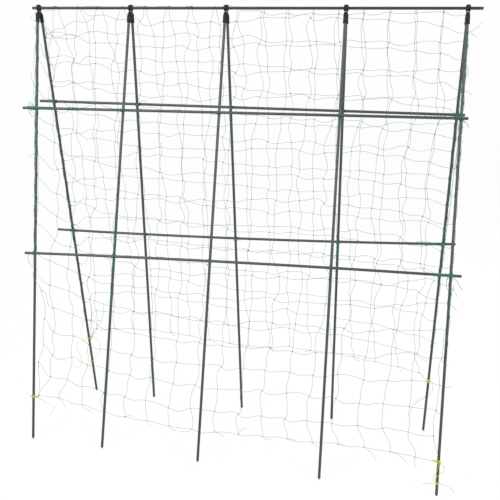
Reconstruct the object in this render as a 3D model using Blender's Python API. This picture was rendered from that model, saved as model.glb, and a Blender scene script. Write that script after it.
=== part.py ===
# A-frame net trellis: fifteen coated tubes, five rubber ridge connectors, a net and its ties.
# Metres, +Z up, +X along the ridge bar, front frame toward -Y, feet on Z = 0.
import math
import bpy
import bmesh
from mathutils import Vector

# Stance
SPLAY = math.radians(8.2)            # each frame's slope away from upright
STAKE_OFFSET = 0.0095                # stake axis outward of the ridge plane

# Tubes
TUBE_LENGTH = 1.8
TUBE_RADIUS = 0.0055
TUBE_SIDES = 12
CAP_FLAT_RADIUS = 0.003              # flat face on each bar end
CAP_SHOULDER_RADIUS = 0.0048
CAP_SHOULDER = 0.0012
CAP_ROUND = 0.0035                   # length of the rounded bar end
FOOT_TIP_RADIUS = 0.002
FOOT_CONE = 0.008
FOOT_COLLAR_RADIUS = 0.006
FOOT_COLLAR_END = 0.012
FIT_GAP = 0.0003                     # clearance between touching pieces

# Stations along the ridge and how far each foot stands off its own station
STATIONS = (-0.838, -0.433, -0.035, 0.432, 0.874)
FOOT_SHIFTS = {"front": (0.020, -0.060, -0.030, 0.012, 0.027),
               "rear": (0.061, -0.036, 0.016, -0.016, -0.036)}
SIDES = {"front": -1, "rear": 1}
RIDGE_BAR_CENTRE = 0.030

# Crossbars: centre along X, distance from the ridge at the left and right end, bow
CROSSBARS = {("front", "upper"): (0.008, 0.409, 0.394, 0.0),
             ("front", "lower"): (0.030, 1.016, 0.971, -0.007),
             ("rear", "upper"): (0.000, 0.385, 0.389, 0.0),
             ("rear", "lower"): (0.009, 0.979, 0.917, 0.011)}
BOW_PARTS = 8
CROSSBAR_STEP = 2 * TUBE_RADIUS + FIT_GAP    # crossbar axis outward of the stake axis

# Rubber connectors and sleeves
SLEEVE_TOP = 0.026                   # distance from the ridge axis
SLEEVE_END = 0.057
SLEEVE_RADIUS = 0.008
SLEEVE_CROWN_RADIUS = 0.0066
SLEEVE_CROWN = 0.0015
SLEEVE_LIP_RADIUS = 0.0092
SLEEVE_LIP = 0.0025
SLEEVE_LIP_SLOPE = 0.001
SLEEVE_ROOF = 0.003
BORE_RADIUS = TUBE_RADIUS + FIT_GAP
LOOP_RADIUS = 0.0105
LOOP_HALF_WIDTH = 0.0085
BEAD_HEIGHT = 0.013
BEAD_HALF_DEPTH = 0.0035
NECK_HALF_WIDTH = 0.0065
NECK_HALF_DEPTH = 0.0066
NECK_LEVEL = 0.017
WEB_RADIUS = SLEEVE_TOP - FIT_GAP    # underside of the neck, round the ridge axis
WEB_HALF_DEPTH = 0.010
SLOT_LEVEL = 0.0107
SLOT_HALF_WIDTH = 0.0035
SLOT_HALF_HEIGHT = 0.00225

# Net
NET_LEFT = -0.859
NET_RIGHT = 0.892
NET_CELLS_ACROSS = 18
NET_PANELS = {"front": {"first": 0.069, "last": 1.678, "cells": 16},
              "rear": {"first": 0.022, "last": 1.541, "cells": 15}}
THREAD_HALF_WIDTH = 0.0008
THREAD_HALF_DEPTH = 0.0006
NET_WAVE = 0.005
RIDGE_WRAP_RADIUS = TUBE_RADIUS + 0.0013
RIDGE_LAP = math.radians(15)         # each half of the net runs this far past the top

# Cords
CORD_RADIUS = 0.0008
CORD_GAP = 0.0005
LASH_SLANT = math.radians(45)
LASH_POINTS = 6                      # points in each half of a lashing
YARN_PITCH = 0.0022
YARN_TURN_POINTS = 10
TAIL_OUT = 0.002                     # tail ends this far outward of the stake axis
# Yarn tails at each net corner: turns, then each tail's end across and down from the knot
YARN_TIES = {("front", "left"): (1.5, (0.080, -0.055), (0.068, -0.085)),
             ("front", "right"): (2.0, (-0.055, -0.085), (0.028, -0.120)),
             ("rear", "left"): (1.5, (0.050, -0.060), (0.030, -0.095)),
             ("rear", "right"): (1.5, (-0.065, -0.105), (-0.090, -0.150))}

# Sizes that follow from those above
FOOT_DISTANCE = SLEEVE_TOP + SLEEVE_ROOF + FIT_GAP + TUBE_LENGTH
RIDGE_HEIGHT = FOOT_DISTANCE * math.cos(SPLAY) + (FOOT_TIP_RADIUS - STAKE_OFFSET) * math.sin(SPLAY)
BAR_CENTRES = [RIDGE_BAR_CENTRE] + [bar[0] for bar in CROSSBARS.values()]
MIDDLE = (min(BAR_CENTRES) + max(BAR_CENTRES)) / 2      # brings the part's middle to X = 0
LASH_REACH = TUBE_RADIUS + CORD_GAP + CORD_RADIUS
LASH_OUT = CROSSBAR_STEP + LASH_REACH + CORD_RADIUS
NET_OVER_BARS = STAKE_OFFSET + LASH_OUT + FIT_GAP + THREAD_HALF_DEPTH
NET_ON_STAKES = STAKE_OFFSET + TUBE_RADIUS + FIT_GAP + THREAD_HALF_DEPTH
NET_ON_SLEEVES = STAKE_OFFSET + SLEEVE_RADIUS + FIT_GAP + THREAD_HALF_DEPTH


def make_material(name, colour, roughness, metallic=0.0):
    material = bpy.data.materials.new(name)
    material.use_nodes = True
    shader = material.node_tree.nodes["Principled BSDF"]
    shader.inputs["Base Color"].default_value = (*colour, 1.0)
    shader.inputs["Roughness"].default_value = roughness
    shader.inputs["Metallic"].default_value = metallic
    return material


def add_object(name, data, material, parent=None, location=(0, 0, 0), rotation=(0, 0, 0)):
    if not data.materials:
        data.materials.append(material)
    obj = bpy.data.objects.new(name, data)
    bpy.context.scene.collection.objects.link(obj)
    obj.parent = parent
    obj.location = location
    obj.rotation_euler = rotation
    return obj


def add_axis(name, slope):
    axis = bpy.data.objects.new(name, None)
    bpy.context.scene.collection.objects.link(axis)
    axis.location = (0, 0, RIDGE_HEIGHT)
    axis.rotation_euler = (slope, 0, 0)
    return axis


def skin(name, rings):
    # Closed mesh over equal rings of points, the first and last ring capped
    mesh = bmesh.new()
    loops = [[mesh.verts.new(point) for point in ring] for ring in rings]
    for upper, lower in zip(loops, loops[1:]):
        for i in range(len(upper)):
            j = (i + 1) % len(upper)
            mesh.faces.new((upper[i], upper[j], lower[j], lower[i]))
    mesh.faces.new(loops[0])
    mesh.faces.new(loops[-1])
    return finish_mesh(name, mesh)


def finish_mesh(name, mesh):
    bmesh.ops.recalc_face_normals(mesh, faces=mesh.faces)
    data = bpy.data.meshes.new(name)
    mesh.to_mesh(data)
    mesh.free()
    return data


def ring(centre, out, side, radius):
    points = []
    for i in range(TUBE_SIDES):
        turn = 2 * math.pi * i / TUBE_SIDES
        points.append(centre + radius * (math.cos(turn) * out + math.sin(turn) * side))
    return points


def turned(name, profile):
    # Body of revolution down its own Z axis from (distance, radius) pairs
    out = Vector((0, 1, 0))
    side = Vector((1, 0, 0))
    return skin(name, [ring(Vector((0, 0, -distance)), out, side, radius) for distance, radius in profile])


def stake_mesh():
    foot = TUBE_LENGTH
    return turned("stake", [(0.0, TUBE_RADIUS),
                            (foot - FOOT_COLLAR_END, TUBE_RADIUS),
                            (foot - FOOT_COLLAR_END, FOOT_COLLAR_RADIUS),
                            (foot - FOOT_CONE, FOOT_COLLAR_RADIUS),
                            (foot, FOOT_TIP_RADIUS)])


def sleeve_mesh():
    return turned("sleeve", [(SLEEVE_TOP, SLEEVE_CROWN_RADIUS),
                             (SLEEVE_TOP + SLEEVE_CROWN, SLEEVE_RADIUS),
                             (SLEEVE_END - SLEEVE_LIP - SLEEVE_LIP_SLOPE, SLEEVE_RADIUS),
                             (SLEEVE_END - SLEEVE_LIP, SLEEVE_LIP_RADIUS),
                             (SLEEVE_END, SLEEVE_LIP_RADIUS),
                             (SLEEVE_END, BORE_RADIUS),
                             (SLEEVE_TOP + SLEEVE_ROOF, BORE_RADIUS)])


def bar_mesh(name, drop_left, drop_right, bow):
    # Tube along X about its own middle, following its distance below the ridge
    half = TUBE_LENGTH / 2
    ends = ((0.0, CAP_FLAT_RADIUS), (CAP_SHOULDER, CAP_SHOULDER_RADIUS), (CAP_ROUND, TUBE_RADIUS))
    stops = [(-half + reach, radius) for reach, radius in ends]
    if bow:
        stops += [(half * (2 * i / BOW_PARTS - 1), TUBE_RADIUS) for i in range(1, BOW_PARTS)]
    stops += [(half - reach, radius) for reach, radius in reversed(ends)]
    rings = []
    for x, radius in stops:
        part = (x + half) / TUBE_LENGTH
        drop = drop_at(part, drop_left, drop_right, bow)
        rings.append(ring(Vector((x, 0, -drop)), Vector((0, 1, 0)), Vector((0, 0, 1)), radius))
    return skin(name, rings)


def drop_at(part, drop_left, drop_right, bow):
    return drop_left + (drop_right - drop_left) * part + bow * 4 * part * (1 - part)


def prism(name, outline, depth, along):
    # Outline in the plane across `along`, extruded both ways by half the depth
    mesh = bmesh.new()
    if along == "x":
        face = mesh.faces.new([mesh.verts.new((-depth / 2, a, b)) for a, b in outline])
        push = Vector((depth, 0, 0))
    else:
        face = mesh.faces.new([mesh.verts.new((a, -depth / 2, b)) for a, b in outline])
        push = Vector((0, depth, 0))
    moved = bmesh.ops.extrude_face_region(mesh, geom=[face])
    bmesh.ops.translate(mesh, vec=push, verts=[v for v in moved["geom"] if isinstance(v, bmesh.types.BMVert)])
    return add_object(name, finish_mesh(name, mesh), None)


def connector_mesh():
    # Loop round the bar and its neck, cut from a side outline and a front outline
    side = [(WEB_RADIUS * math.sin(t), -WEB_RADIUS * math.cos(t))
            for t in [math.asin(WEB_HALF_DEPTH / WEB_RADIUS) * k / 3 for k in range(-3, 4)]]
    side += [(NECK_HALF_DEPTH, -NECK_LEVEL), (NECK_HALF_DEPTH, -NECK_LEVEL + 0.006)]
    side += [(LOOP_RADIUS * math.cos(math.radians(a)), LOOP_RADIUS * math.sin(math.radians(a)))
             for a in (-30, -10, 10, 30, 50, 68)]
    side += [(BEAD_HALF_DEPTH, BEAD_HEIGHT - 0.0008), (BEAD_HALF_DEPTH / 2, BEAD_HEIGHT)]
    upper = side[7:]
    side += [(-y, z) for y, z in reversed(upper)]
    front = [(NECK_HALF_WIDTH + 0.0012, -SLEEVE_TOP - 0.002), (NECK_HALF_WIDTH + 0.0012, -NECK_LEVEL - 0.005),
             (NECK_HALF_WIDTH, -NECK_LEVEL), (NECK_HALF_WIDTH + 0.001, -LOOP_RADIUS - 0.001),
             (LOOP_HALF_WIDTH, -LOOP_RADIUS + 0.003), (LOOP_HALF_WIDTH, LOOP_RADIUS - 0.003),
             (LOOP_HALF_WIDTH - 0.0025, BEAD_HEIGHT + 0.001)]
    front += [(-x, z) for x, z in reversed(front)]
    slot = [(SLOT_HALF_WIDTH * math.cos(math.radians(a)), SLOT_HALF_HEIGHT * math.sin(math.radians(a)) - SLOT_LEVEL)
            for a in range(0, 360, 36)]
    bore = [(BORE_RADIUS * math.cos(2 * math.pi * i / TUBE_SIDES), BORE_RADIUS * math.sin(2 * math.pi * i / TUBE_SIDES))
            for i in range(TUBE_SIDES)]
    body = prism("connector_body", side, 4 * LOOP_HALF_WIDTH, "x")
    cutters = (("INTERSECT", prism("connector_front", front, 6 * LOOP_RADIUS, "y")),
               ("DIFFERENCE", prism("connector_slot", slot, 8 * LOOP_RADIUS, "y")),
               ("DIFFERENCE", prism("connector_bore", bore, 6 * LOOP_HALF_WIDTH, "x")))
    for operation, cutter in cutters:
        cutter.hide_render = True
        cutter.display_type = "WIRE"
        modifier = body.modifiers.new(cutter.name, "BOOLEAN")
        modifier.operation = operation
        modifier.solver = "EXACT"
        modifier.object = cutter
    shaped = body.evaluated_get(bpy.context.evaluated_depsgraph_get())
    data = bpy.data.meshes.new_from_object(shaped)
    data.name = "connector"
    data.materials.clear()
    for obj in [body] + [cutter for operation, cutter in cutters]:
        bpy.data.objects.remove(obj)
    return data


def cord_curve(name, points, closed):
    curve = bpy.data.curves.new(name, "CURVE")
    curve.dimensions = "3D"
    curve.bevel_depth = CORD_RADIUS
    curve.bevel_resolution = 0
    curve.use_fill_caps = not closed
    line = curve.splines.new("POLY")
    line.points.add(len(points) - 1)
    for target, point in zip(line.points, points):
        target.co = (*point, 1.0)
    line.use_cyclic_u = closed
    return curve


def lashing_curve():
    # One slanted loop round a stake (at the origin, outward = +Y) and the bar lying on it
    points = []
    for centre, start in ((CROSSBAR_STEP, 0.0), (0.0, math.pi)):
        for i in range(LASH_POINTS):
            turn = start + math.pi * i / (LASH_POINTS - 1)
            along = LASH_REACH / math.cos(LASH_SLANT) * math.cos(turn)
            out = centre + LASH_REACH * math.sin(turn)
            points.append((along * math.cos(LASH_SLANT), out, along * math.sin(LASH_SLANT)))
    return cord_curve("lashing", points, True)


def yarn_points(turns, tail_a, tail_b, side):
    # Tail, turns round the stake just below the net's corner, tail
    radius = TUBE_RADIUS + FIT_GAP + CORD_RADIUS
    top = -THREAD_HALF_WIDTH - FIT_GAP - CORD_RADIUS - 0.0003
    hand = 1 if tail_b[0] > 0 else -1
    start = 2 * math.pi * (math.ceil(turns) - turns)
    steps = round(turns * YARN_TURN_POINTS)
    middle = []
    for i in range(steps + 1):
        turn = start + 2 * math.pi * turns * i / steps
        drop = top - YARN_PITCH * turns * i / steps
        middle.append(Vector((hand * radius * math.sin(turn), side * radius * math.cos(turn), drop)))
    first = tail_points(middle[0], tail_a, side, -1 if start == 0 else 1, hand)
    last = tail_points(middle[-1], tail_b, side, 1, hand)
    return first[::-1] + middle + last


def tail_points(start, tail, side, way, hand):
    # A tail that leaves its turn straight, then droops outward to its end
    leave = start + Vector((hand * way * 2.2 * TUBE_RADIUS, side * 0.0006, 0))
    end = Vector((tail[0], side * TAIL_OUT, tail[1]))
    points = [leave]
    for part in (0.3, 0.65, 1.0):
        across = leave.x + (end.x - leave.x) * math.sin(part * math.pi / 2)
        depth = leave.y + (end.y - leave.y) * part
        points.append(Vector((across, depth, leave.z + (end.z - leave.z) * part ** 1.5)))
    return points


def least_gap(points, skip):
    # Least clear distance between parts of a cord that are over `skip` points apart
    closest = min((a - b).length for i, a in enumerate(points) for b in points[i + skip:])
    return closest - 2 * CORD_RADIUS


def net_mesh(name, side_name):
    panel = NET_PANELS[side_name]
    side = SIDES[side_name]
    rows = panel["cells"]
    verts = []
    faces = []

    def corner(centre, across, out, up):
        verts.append((centre[0] + across, centre[1] + out[0], centre[2] + out[1] + up))
        return len(verts) - 1

    def join(a, b):
        for i in range(3):
            j = (i + 1) % 3
            faces.append((a[i], a[j], b[j], b[i]))

    flat = (side * THREAD_HALF_DEPTH, 0.0)
    back = (-side * THREAD_HALF_DEPTH, 0.0)
    knots = {}
    for row in range(rows + 1):
        for column in range(NET_CELLS_ACROSS + 1):
            centre = knot_place(panel, side_name, row, column)
            knots[row, column] = (corner(centre, -THREAD_HALF_WIDTH, back, 0.0),
                                  corner(centre, THREAD_HALF_WIDTH, back, 0.0),
                                  corner(centre, 0.0, flat, -THREAD_HALF_WIDTH),
                                  corner(centre, 0.0, flat, THREAD_HALF_WIDTH))
    for (row, column), (left, right, low, high) in knots.items():
        if row < rows:
            below = knots[row + 1, column]
            join((left, right, low), (below[0], below[1], below[3]))
        else:
            faces.append((left, right, low))
        if column < NET_CELLS_ACROSS:
            beside = knots[row, column + 1]
            join((low, high, right), (beside[2], beside[3], beside[0]))
        else:
            faces.append((low, high, right))
        if column == 0:
            faces.append((low, high, left))
        if row == 0:
            above = (left, right, high)
            for centre, out in ridge_wrap(panel, side_name, column):
                inward = (-out[0], -out[1])
                section = (corner(centre, -THREAD_HALF_WIDTH, inward, 0.0),
                           corner(centre, THREAD_HALF_WIDTH, inward, 0.0),
                           corner(centre, 0.0, out, 0.0))
                join(above, section)
                above = section
            faces.append(above)
    mesh = bmesh.new()
    points = [mesh.verts.new(point) for point in verts]
    for face in faces:
        mesh.faces.new([points[i] for i in face])
    return finish_mesh(name, mesh)


def knot_place(panel, side_name, row, column):
    rows = panel["cells"]
    part = row / rows
    across = column / NET_CELLS_ACROSS
    left_corner = stake_x(side_name, 0, panel["last"])
    right_corner = stake_x(side_name, -1, panel["last"])
    left = NET_LEFT + (left_corner - NET_LEFT) * part
    right = NET_RIGHT + (right_corner - NET_RIGHT) * part
    x = left + (right - left) * across
    drop = panel["first"] + (panel["last"] - panel["first"]) * part
    if row > 0 and not (row == rows and column in (0, NET_CELLS_ACROSS)):
        x += NET_WAVE * math.sin(1.7 * column + 2.3 * row)
        drop += NET_WAVE * math.sin(2.1 * column + 1.3 * row + 1.0)
    return (x, SIDES[side_name] * net_out(panel, side_name, row), -drop)


def net_out(panel, side_name, row):
    # How far out each row lies: on the sleeves or stakes, over both crossbars, on the stakes
    pitch = (panel["last"] - panel["first"]) / panel["cells"]
    upper = min(CROSSBARS[side_name, "upper"][1:3]) - LASH_REACH
    lower = max(CROSSBARS[side_name, "lower"][1:3]) + LASH_REACH + abs(CROSSBARS[side_name, "lower"][3])
    start = math.floor((upper - NET_WAVE - panel["first"]) / pitch)
    stop = math.ceil((lower + NET_WAVE - panel["first"]) / pitch)
    if row <= start:
        near = NET_ON_SLEEVES
        return near + (NET_OVER_BARS - near) * row / start
    if row <= stop:
        return NET_OVER_BARS
    return NET_OVER_BARS + (NET_ON_STAKES - NET_OVER_BARS) * (row - stop) / (panel["cells"] - stop)


def ridge_wrap(panel, side_name, column):
    # Thread from the first row up to the ridge bar and over its top, next to the other half
    side = SIDES[side_name]
    x = NET_LEFT + (NET_RIGHT - NET_LEFT) * column / NET_CELLS_ACROSS
    x += side * (THREAD_HALF_WIDTH + FIT_GAP / 2)
    out, drop = net_out(panel, side_name, 0), panel["first"]
    begin = math.atan2(out, drop) + math.acos(RIDGE_WRAP_RADIUS / math.hypot(out, drop))
    end = math.pi - SPLAY + RIDGE_LAP
    places = []
    for i in range(3):
        turn = begin + (end - begin) * i / 2
        y, z = side * math.sin(turn), -math.cos(turn)
        places.append(((x, RIDGE_WRAP_RADIUS * y, RIDGE_WRAP_RADIUS * z),
                       (THREAD_HALF_DEPTH * y, THREAD_HALF_DEPTH * z)))
    return places


def station_x(index):
    return STATIONS[index] - MIDDLE


def stake_lean(side_name, index):
    return math.atan2(FOOT_SHIFTS[side_name][index], FOOT_DISTANCE)


def stake_x(side_name, index, distance):
    # X of a stake's axis at a distance below the ridge, before the part is centred
    return STATIONS[index] + FOOT_SHIFTS[side_name][index] * distance / FOOT_DISTANCE


def build_ridge(coating, rubber):
    bar = bar_mesh("ridge_bar", 0.0, 0.0, 0.0)
    add_object("ridge_bar", bar, coating, location=(RIDGE_BAR_CENTRE - MIDDLE, 0, RIDGE_HEIGHT))
    loop = connector_mesh()
    for index in range(len(STATIONS)):
        add_object(f"connector_{index + 1}", loop, rubber, location=(station_x(index), 0, RIDGE_HEIGHT))


def build_frame(side_name, axis, shared, materials):
    side = SIDES[side_name]
    stake, sleeve, lashing = shared
    for index in range(len(STATIONS)):
        lean = stake_lean(side_name, index)
        top = FOOT_DISTANCE - TUBE_LENGTH * math.cos(lean)
        place = (stake_x(side_name, index, top) - MIDDLE, side * STAKE_OFFSET, -top)
        add_object(f"stake_{side_name}_{index + 1}", stake, materials["coating"], axis, place, (0, -lean, 0))
        place = (station_x(index), side * STAKE_OFFSET, 0)
        add_object(f"sleeve_{side_name}_{index + 1}", sleeve, materials["rubber"], axis, place, (0, -lean, 0))
    for level in ("upper", "lower"):
        centre, drop_left, drop_right, bow = CROSSBARS[side_name, level]
        name = f"crossbar_{side_name}_{level}"
        bar = bar_mesh(name, drop_left, drop_right, bow)
        place = (centre - MIDDLE, side * (STAKE_OFFSET + CROSSBAR_STEP), 0)
        add_object(name, bar, materials["coating"], axis, place)
        for index in range(len(STATIONS)):
            part = (stake_x(side_name, index, drop_left) - centre) / TUBE_LENGTH + 0.5
            drop = drop_at(part, drop_left, drop_right, bow)
            place = (stake_x(side_name, index, drop) - MIDDLE, side * STAKE_OFFSET, -drop)
            turn = math.pi if side < 0 else 0.0
            slope = (drop_right - drop_left + bow * 4 * (1 - 2 * part)) / TUBE_LENGTH
            tilt = (math.atan(slope) - stake_lean(side_name, index)) / 2
            add_object(f"tie_{side_name}_{level}_{index + 1}", lashing, materials["green_cord"],
                       axis, place, (0, side * tilt, turn))
    name = f"net_{side_name}"
    add_object(name, net_mesh(name, side_name), materials["net"], axis, (-MIDDLE, 0, 0))
    for end, index in (("left", 0), ("right", -1)):
        turns, tail_a, tail_b = YARN_TIES[side_name, end]
        points = yarn_points(turns, tail_a, tail_b, side)
        name = f"net_tie_{side_name}_{end}"
        drop = NET_PANELS[side_name]["last"]
        place = (stake_x(side_name, index, drop) - MIDDLE, side * STAKE_OFFSET, -drop)
        add_object(name, cord_curve(name, points, False), materials["yarn"], axis, place)
        print(name, "least gap to itself, mm:", round(1000 * least_gap(points, YARN_TURN_POINTS // 2), 2))


def build():
    for obj in list(bpy.data.objects):
        bpy.data.objects.remove(obj)
    materials = {"coating": make_material("tube_coating", (0.055, 0.075, 0.065), 0.42),
                 "rubber": make_material("rubber", (0.012, 0.012, 0.013), 0.6),
                 "net": make_material("net_thread", (0.045, 0.155, 0.095), 0.5),
                 "green_cord": make_material("green_cord", (0.03, 0.20, 0.11), 0.55),
                 "yarn": make_material("yarn", (0.58, 0.62, 0.04), 0.7)}
    build_ridge(materials["coating"], materials["rubber"])
    shared = (stake_mesh(), sleeve_mesh(), lashing_curve())
    for side_name, side in SIDES.items():
        axis = add_axis(f"{side_name}_fold_axis", side * SPLAY)
        build_frame(side_name, axis, shared, materials)


build()
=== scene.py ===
import math
import bpy
import numpy as np
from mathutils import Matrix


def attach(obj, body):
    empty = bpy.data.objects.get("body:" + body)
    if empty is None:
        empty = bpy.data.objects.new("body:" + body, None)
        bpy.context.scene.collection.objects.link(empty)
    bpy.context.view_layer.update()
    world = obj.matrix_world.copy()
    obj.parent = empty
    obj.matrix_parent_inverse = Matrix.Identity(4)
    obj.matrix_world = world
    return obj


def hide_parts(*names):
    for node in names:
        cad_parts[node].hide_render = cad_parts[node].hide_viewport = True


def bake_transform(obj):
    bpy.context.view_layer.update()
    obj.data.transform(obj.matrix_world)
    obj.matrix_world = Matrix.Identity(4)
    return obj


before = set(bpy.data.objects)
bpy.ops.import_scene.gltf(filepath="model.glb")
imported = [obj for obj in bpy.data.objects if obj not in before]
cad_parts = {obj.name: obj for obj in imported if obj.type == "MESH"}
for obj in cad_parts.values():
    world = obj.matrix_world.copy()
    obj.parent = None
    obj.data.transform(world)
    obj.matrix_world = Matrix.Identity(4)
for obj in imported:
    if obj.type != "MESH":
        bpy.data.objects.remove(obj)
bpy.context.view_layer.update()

rng = np.random.default_rng(7)

# How the trellis stands, in metres; the same values as the solids have
stance = dict(splay=math.radians(8.2), ridgeHeight=1.809528, stakeOut=0.0095, footDistance=1.8293,
              tubeLength=1.8, tubeRadius=0.0055, crossbarStep=0.0113, middle=0.015, ridgeCentre=0.030,
              stations=(-0.838, -0.433, -0.035, 0.432, 0.874))
footShifts = {"front": (0.020, -0.060, -0.030, 0.012, 0.027), "rear": (0.061, -0.036, 0.016, -0.016, -0.036)}
# Each crossbar's middle, its drop at the left and at the right end, and how far it sags
crossbars = {("front", "upper"): (0.008, 0.409, 0.394, 0.0),
             ("front", "lower"): (0.030, 1.016, 0.971, -0.007),
             ("rear", "upper"): (0.000, 0.385, 0.389, 0.0),
             ("rear", "lower"): (0.009, 0.979, 0.917, 0.011)}
sides = {"front": -1.0, "rear": 1.0}
bodies = {"front": "front_frame", "rear": "rear_frame", "ridge": "ridge"}


# Places: x along the ridge, out = outward of the ridge plane, drop = distance down the frame
def onFrame(side, x, out, drop):
    # out and drop are turned by the splay about the ridge, forward or backward by the side
    cosine, sine = math.cos(stance["splay"]), math.sin(stance["splay"])
    x, out, drop = np.broadcast_arrays(np.asarray(x, float), out, drop)
    return np.stack([x - stance["middle"], sides[side] * (out * cosine + drop * sine),
                     stance["ridgeHeight"] - drop * cosine + out * sine], -1)


def outward(side):
    # The direction in which out grows
    return np.array([0.0, sides[side] * math.cos(stance["splay"]), math.sin(stance["splay"])])


def stakeX(side, index, drop):
    # From its station a stake leans evenly to its foot
    return stance["stations"][index] + footShifts[side][index] * drop / stance["footDistance"]


def stakeLean(side, index):
    # The angle of that lean
    return math.atan2(footShifts[side][index], stance["footDistance"])


def barDrop(side, level, x):
    # Straight from the left drop to the right one, plus a parabola as high as the sag
    centre, left, right, bow = crossbars[side, level]
    part = (np.asarray(x, float) - centre) / stance["tubeLength"] + 0.5
    return left + (right - left) * part + bow * 4 * part * (1 - part)


def barSlope(side, level, x):
    # The angle of that curve at x
    centre, left, right, bow = crossbars[side, level]
    part = (x - centre) / stance["tubeLength"] + 0.5
    return math.atan((right - left + bow * 4 * (1 - 2 * part)) / stance["tubeLength"])


# Meshes from arrays. A part is its points (n, 3), a list of face arrays (m, k) with the quads
# first, and one pair of map values for each corner of the quads
def makeObject(name, verts, faces, material, uv=None, sharpAngle=None):
    mesh = bpy.data.meshes.new(name)
    loops = np.concatenate([group.ravel() for group in faces]).astype(np.int32)
    totals = np.concatenate([np.full(len(group), group.shape[1], np.int32) for group in faces])
    mesh.vertices.add(len(verts))
    mesh.vertices.foreach_set("co", np.asarray(verts, np.float32).ravel())
    mesh.loops.add(len(loops))
    mesh.loops.foreach_set("vertex_index", loops)
    mesh.polygons.add(len(totals))
    mesh.polygons.foreach_set("loop_start", (np.cumsum(totals) - totals).astype(np.int32))
    mesh.update(calc_edges=True)
    if uv is not None:
        mesh.uv_layers.new(name="along").data.foreach_set("uv", np.asarray(uv, np.float32).ravel())
    mesh.polygons.foreach_set("use_smooth", np.ones(len(totals), bool))
    if sharpAngle:
        mesh.set_sharp_from_angle(angle=sharpAngle)
    mesh.validate()
    mesh.materials.append(material)
    obj = bpy.data.objects.new(name, mesh)
    bpy.context.scene.collection.objects.link(obj)
    return obj


def meshObject(name, parts, material, sharpAngle=None):
    # Several parts as one mesh: all the quads, then the other faces, which share one map value
    verts, quads, others, uvs, shift = [], [], [], [], 0
    for points, faces, uv in parts:
        verts.append(points)
        quads.append(faces[0] + shift)
        others += [group + shift for group in faces[1:]]
        uvs.append(uv)
        shift += len(points)
    uvs.append(np.full((sum(group.size for group in others), 2), 0.5))
    return makeObject(name, np.concatenate(verts), [np.concatenate(quads)] + others, material,
                      np.concatenate(uvs), sharpAngle)


def unit(vectors):
    # Each vector over its length
    return vectors / np.maximum(np.linalg.norm(vectors, axis=-1, keepdims=True), 1e-12)


def angles(count):
    # Even angles once round
    return 2 * np.pi * np.arange(count) / count


def circle(turn, first, second):
    # The unit circle through two directions at right angles, at each angle
    return np.cos(turn)[..., None] * first + np.sin(turn)[..., None] * second


def ringFaces(tubes, rings, around, closed):
    # Quads from each ring of points to the next, for several tubes, and a face on each open end
    t, p, a = np.meshgrid(np.arange(tubes), np.arange(rings if closed else rings - 1), np.arange(around),
                          indexing="ij")
    here, there, b = (t * rings + p) * around, (t * rings + (p + 1) % rings) * around, (a + 1) % around
    quads = np.stack([here + a, here + b, there + b, there + a], -1).reshape(-1, 4)
    first = np.arange(tubes)[:, None] * rings * around + np.arange(around)[::-1]
    ends = np.concatenate([first, first[:, ::-1] + (rings - 1) * around])
    return [quads] if closed else [quads, ends]


def sweep(paths, normals, radii, around, closed=False):
    # Tubes carried along paths (t, p, 3): each ring is a circle across the path's direction, and
    # its first point lies on the side that the normals point to; the map is u round, v along
    paths = np.asarray(paths, float)
    if paths.ndim == 2:
        paths = paths[None]
    count, points = paths.shape[:2]
    radii = np.broadcast_to(np.asarray(radii, float), (count, points))
    along = unit(np.roll(paths, -1, 1) - np.roll(paths, 1, 1) if closed else np.gradient(paths, axis=1))
    normals = np.broadcast_to(np.asarray(normals, float), paths.shape)
    across = unit(normals - np.sum(normals * along, -1, keepdims=True) * along)
    ring = circle(angles(around), across[:, :, None], np.cross(along, across)[:, :, None])
    verts = paths[:, :, None] + radii[:, :, None, None] * ring
    steps = np.linalg.norm(np.roll(paths, -1, 1) - paths, axis=-1)
    length = np.concatenate([np.zeros((count, 1)), np.cumsum(steps, 1)], 1)
    spans = points if closed else points - 1
    u = np.arange(around + 1) / around
    left, right, here, there = np.broadcast_arrays(u[:-1], u[1:], length[:, :spans, None],
                                                   length[:, 1:spans + 1, None])
    uv = np.stack([left, here, right, here, right, there, left, there], -1).reshape(-1, 2)
    return verts.reshape(-1, 3), ringFaces(count, points, around, closed), uv


def ringGrid(rings, closed=False):
    # A surface through rings (n, m, 3) of points
    faces = ringFaces(1, *rings.shape[:2], closed)
    return rings.reshape(-1, 3), faces, np.full((faces[0].size, 2), 0.5)


def smoothPath(points, count):
    # Catmull-Rom curve through the points, at count even steps of its parameter
    points = np.asarray(points, float)
    ends = np.concatenate([[2 * points[0] - points[1]], points, [2 * points[-1] - points[-2]]])
    spot = np.linspace(0, len(points) - 1, count)
    k = np.minimum(spot.astype(int), len(points) - 2)
    t = (spot - k)[:, None]
    a, b, c, d = (ends[k + i] for i in range(4))
    return 0.5 * (2 * b + (c - a) * t + (2 * a - 5 * b + 4 * c - d) * t ** 2
                  + (3 * b - a - 3 * c + d) * t ** 3)


def drawn(points, perPoint=8):
    # The smooth curve through points written in millimetres
    return smoothPath(np.array(points) / 1000, perPoint * len(points))


def profileAlong(start, direction, profile):
    # Path points and radii of a body of revolution from (distance, radius) pairs
    profile = np.array(profile)
    return start + profile[:, :1] * unit(np.asarray(direction, float)), profile[:, 1]


def roundedEnd(radius, length):
    # Distances and radii of a dome that ends a bar: a quarter of an ellipse
    turn = np.linspace(0, np.pi / 2, 6)
    return [(length * (1 - math.cos(t)), max(radius * math.sin(t), 0.0004)) for t in turn]


# Materials
def setInputs(tree, node, values):
    # A value that is another node's output is linked, any other is set
    for key, value in values.items():
        if isinstance(value, bpy.types.NodeSocket):
            tree.links.new(value, node.inputs[key])
        else:
            node.inputs[key].default_value = value


def addNode(tree, kind, values={}, **settings):
    # Gives the new node's outputs
    node = tree.nodes.new(kind)
    for key, value in settings.items():
        setattr(node, key, value)
    setInputs(tree, node, values)
    return node.outputs


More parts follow.
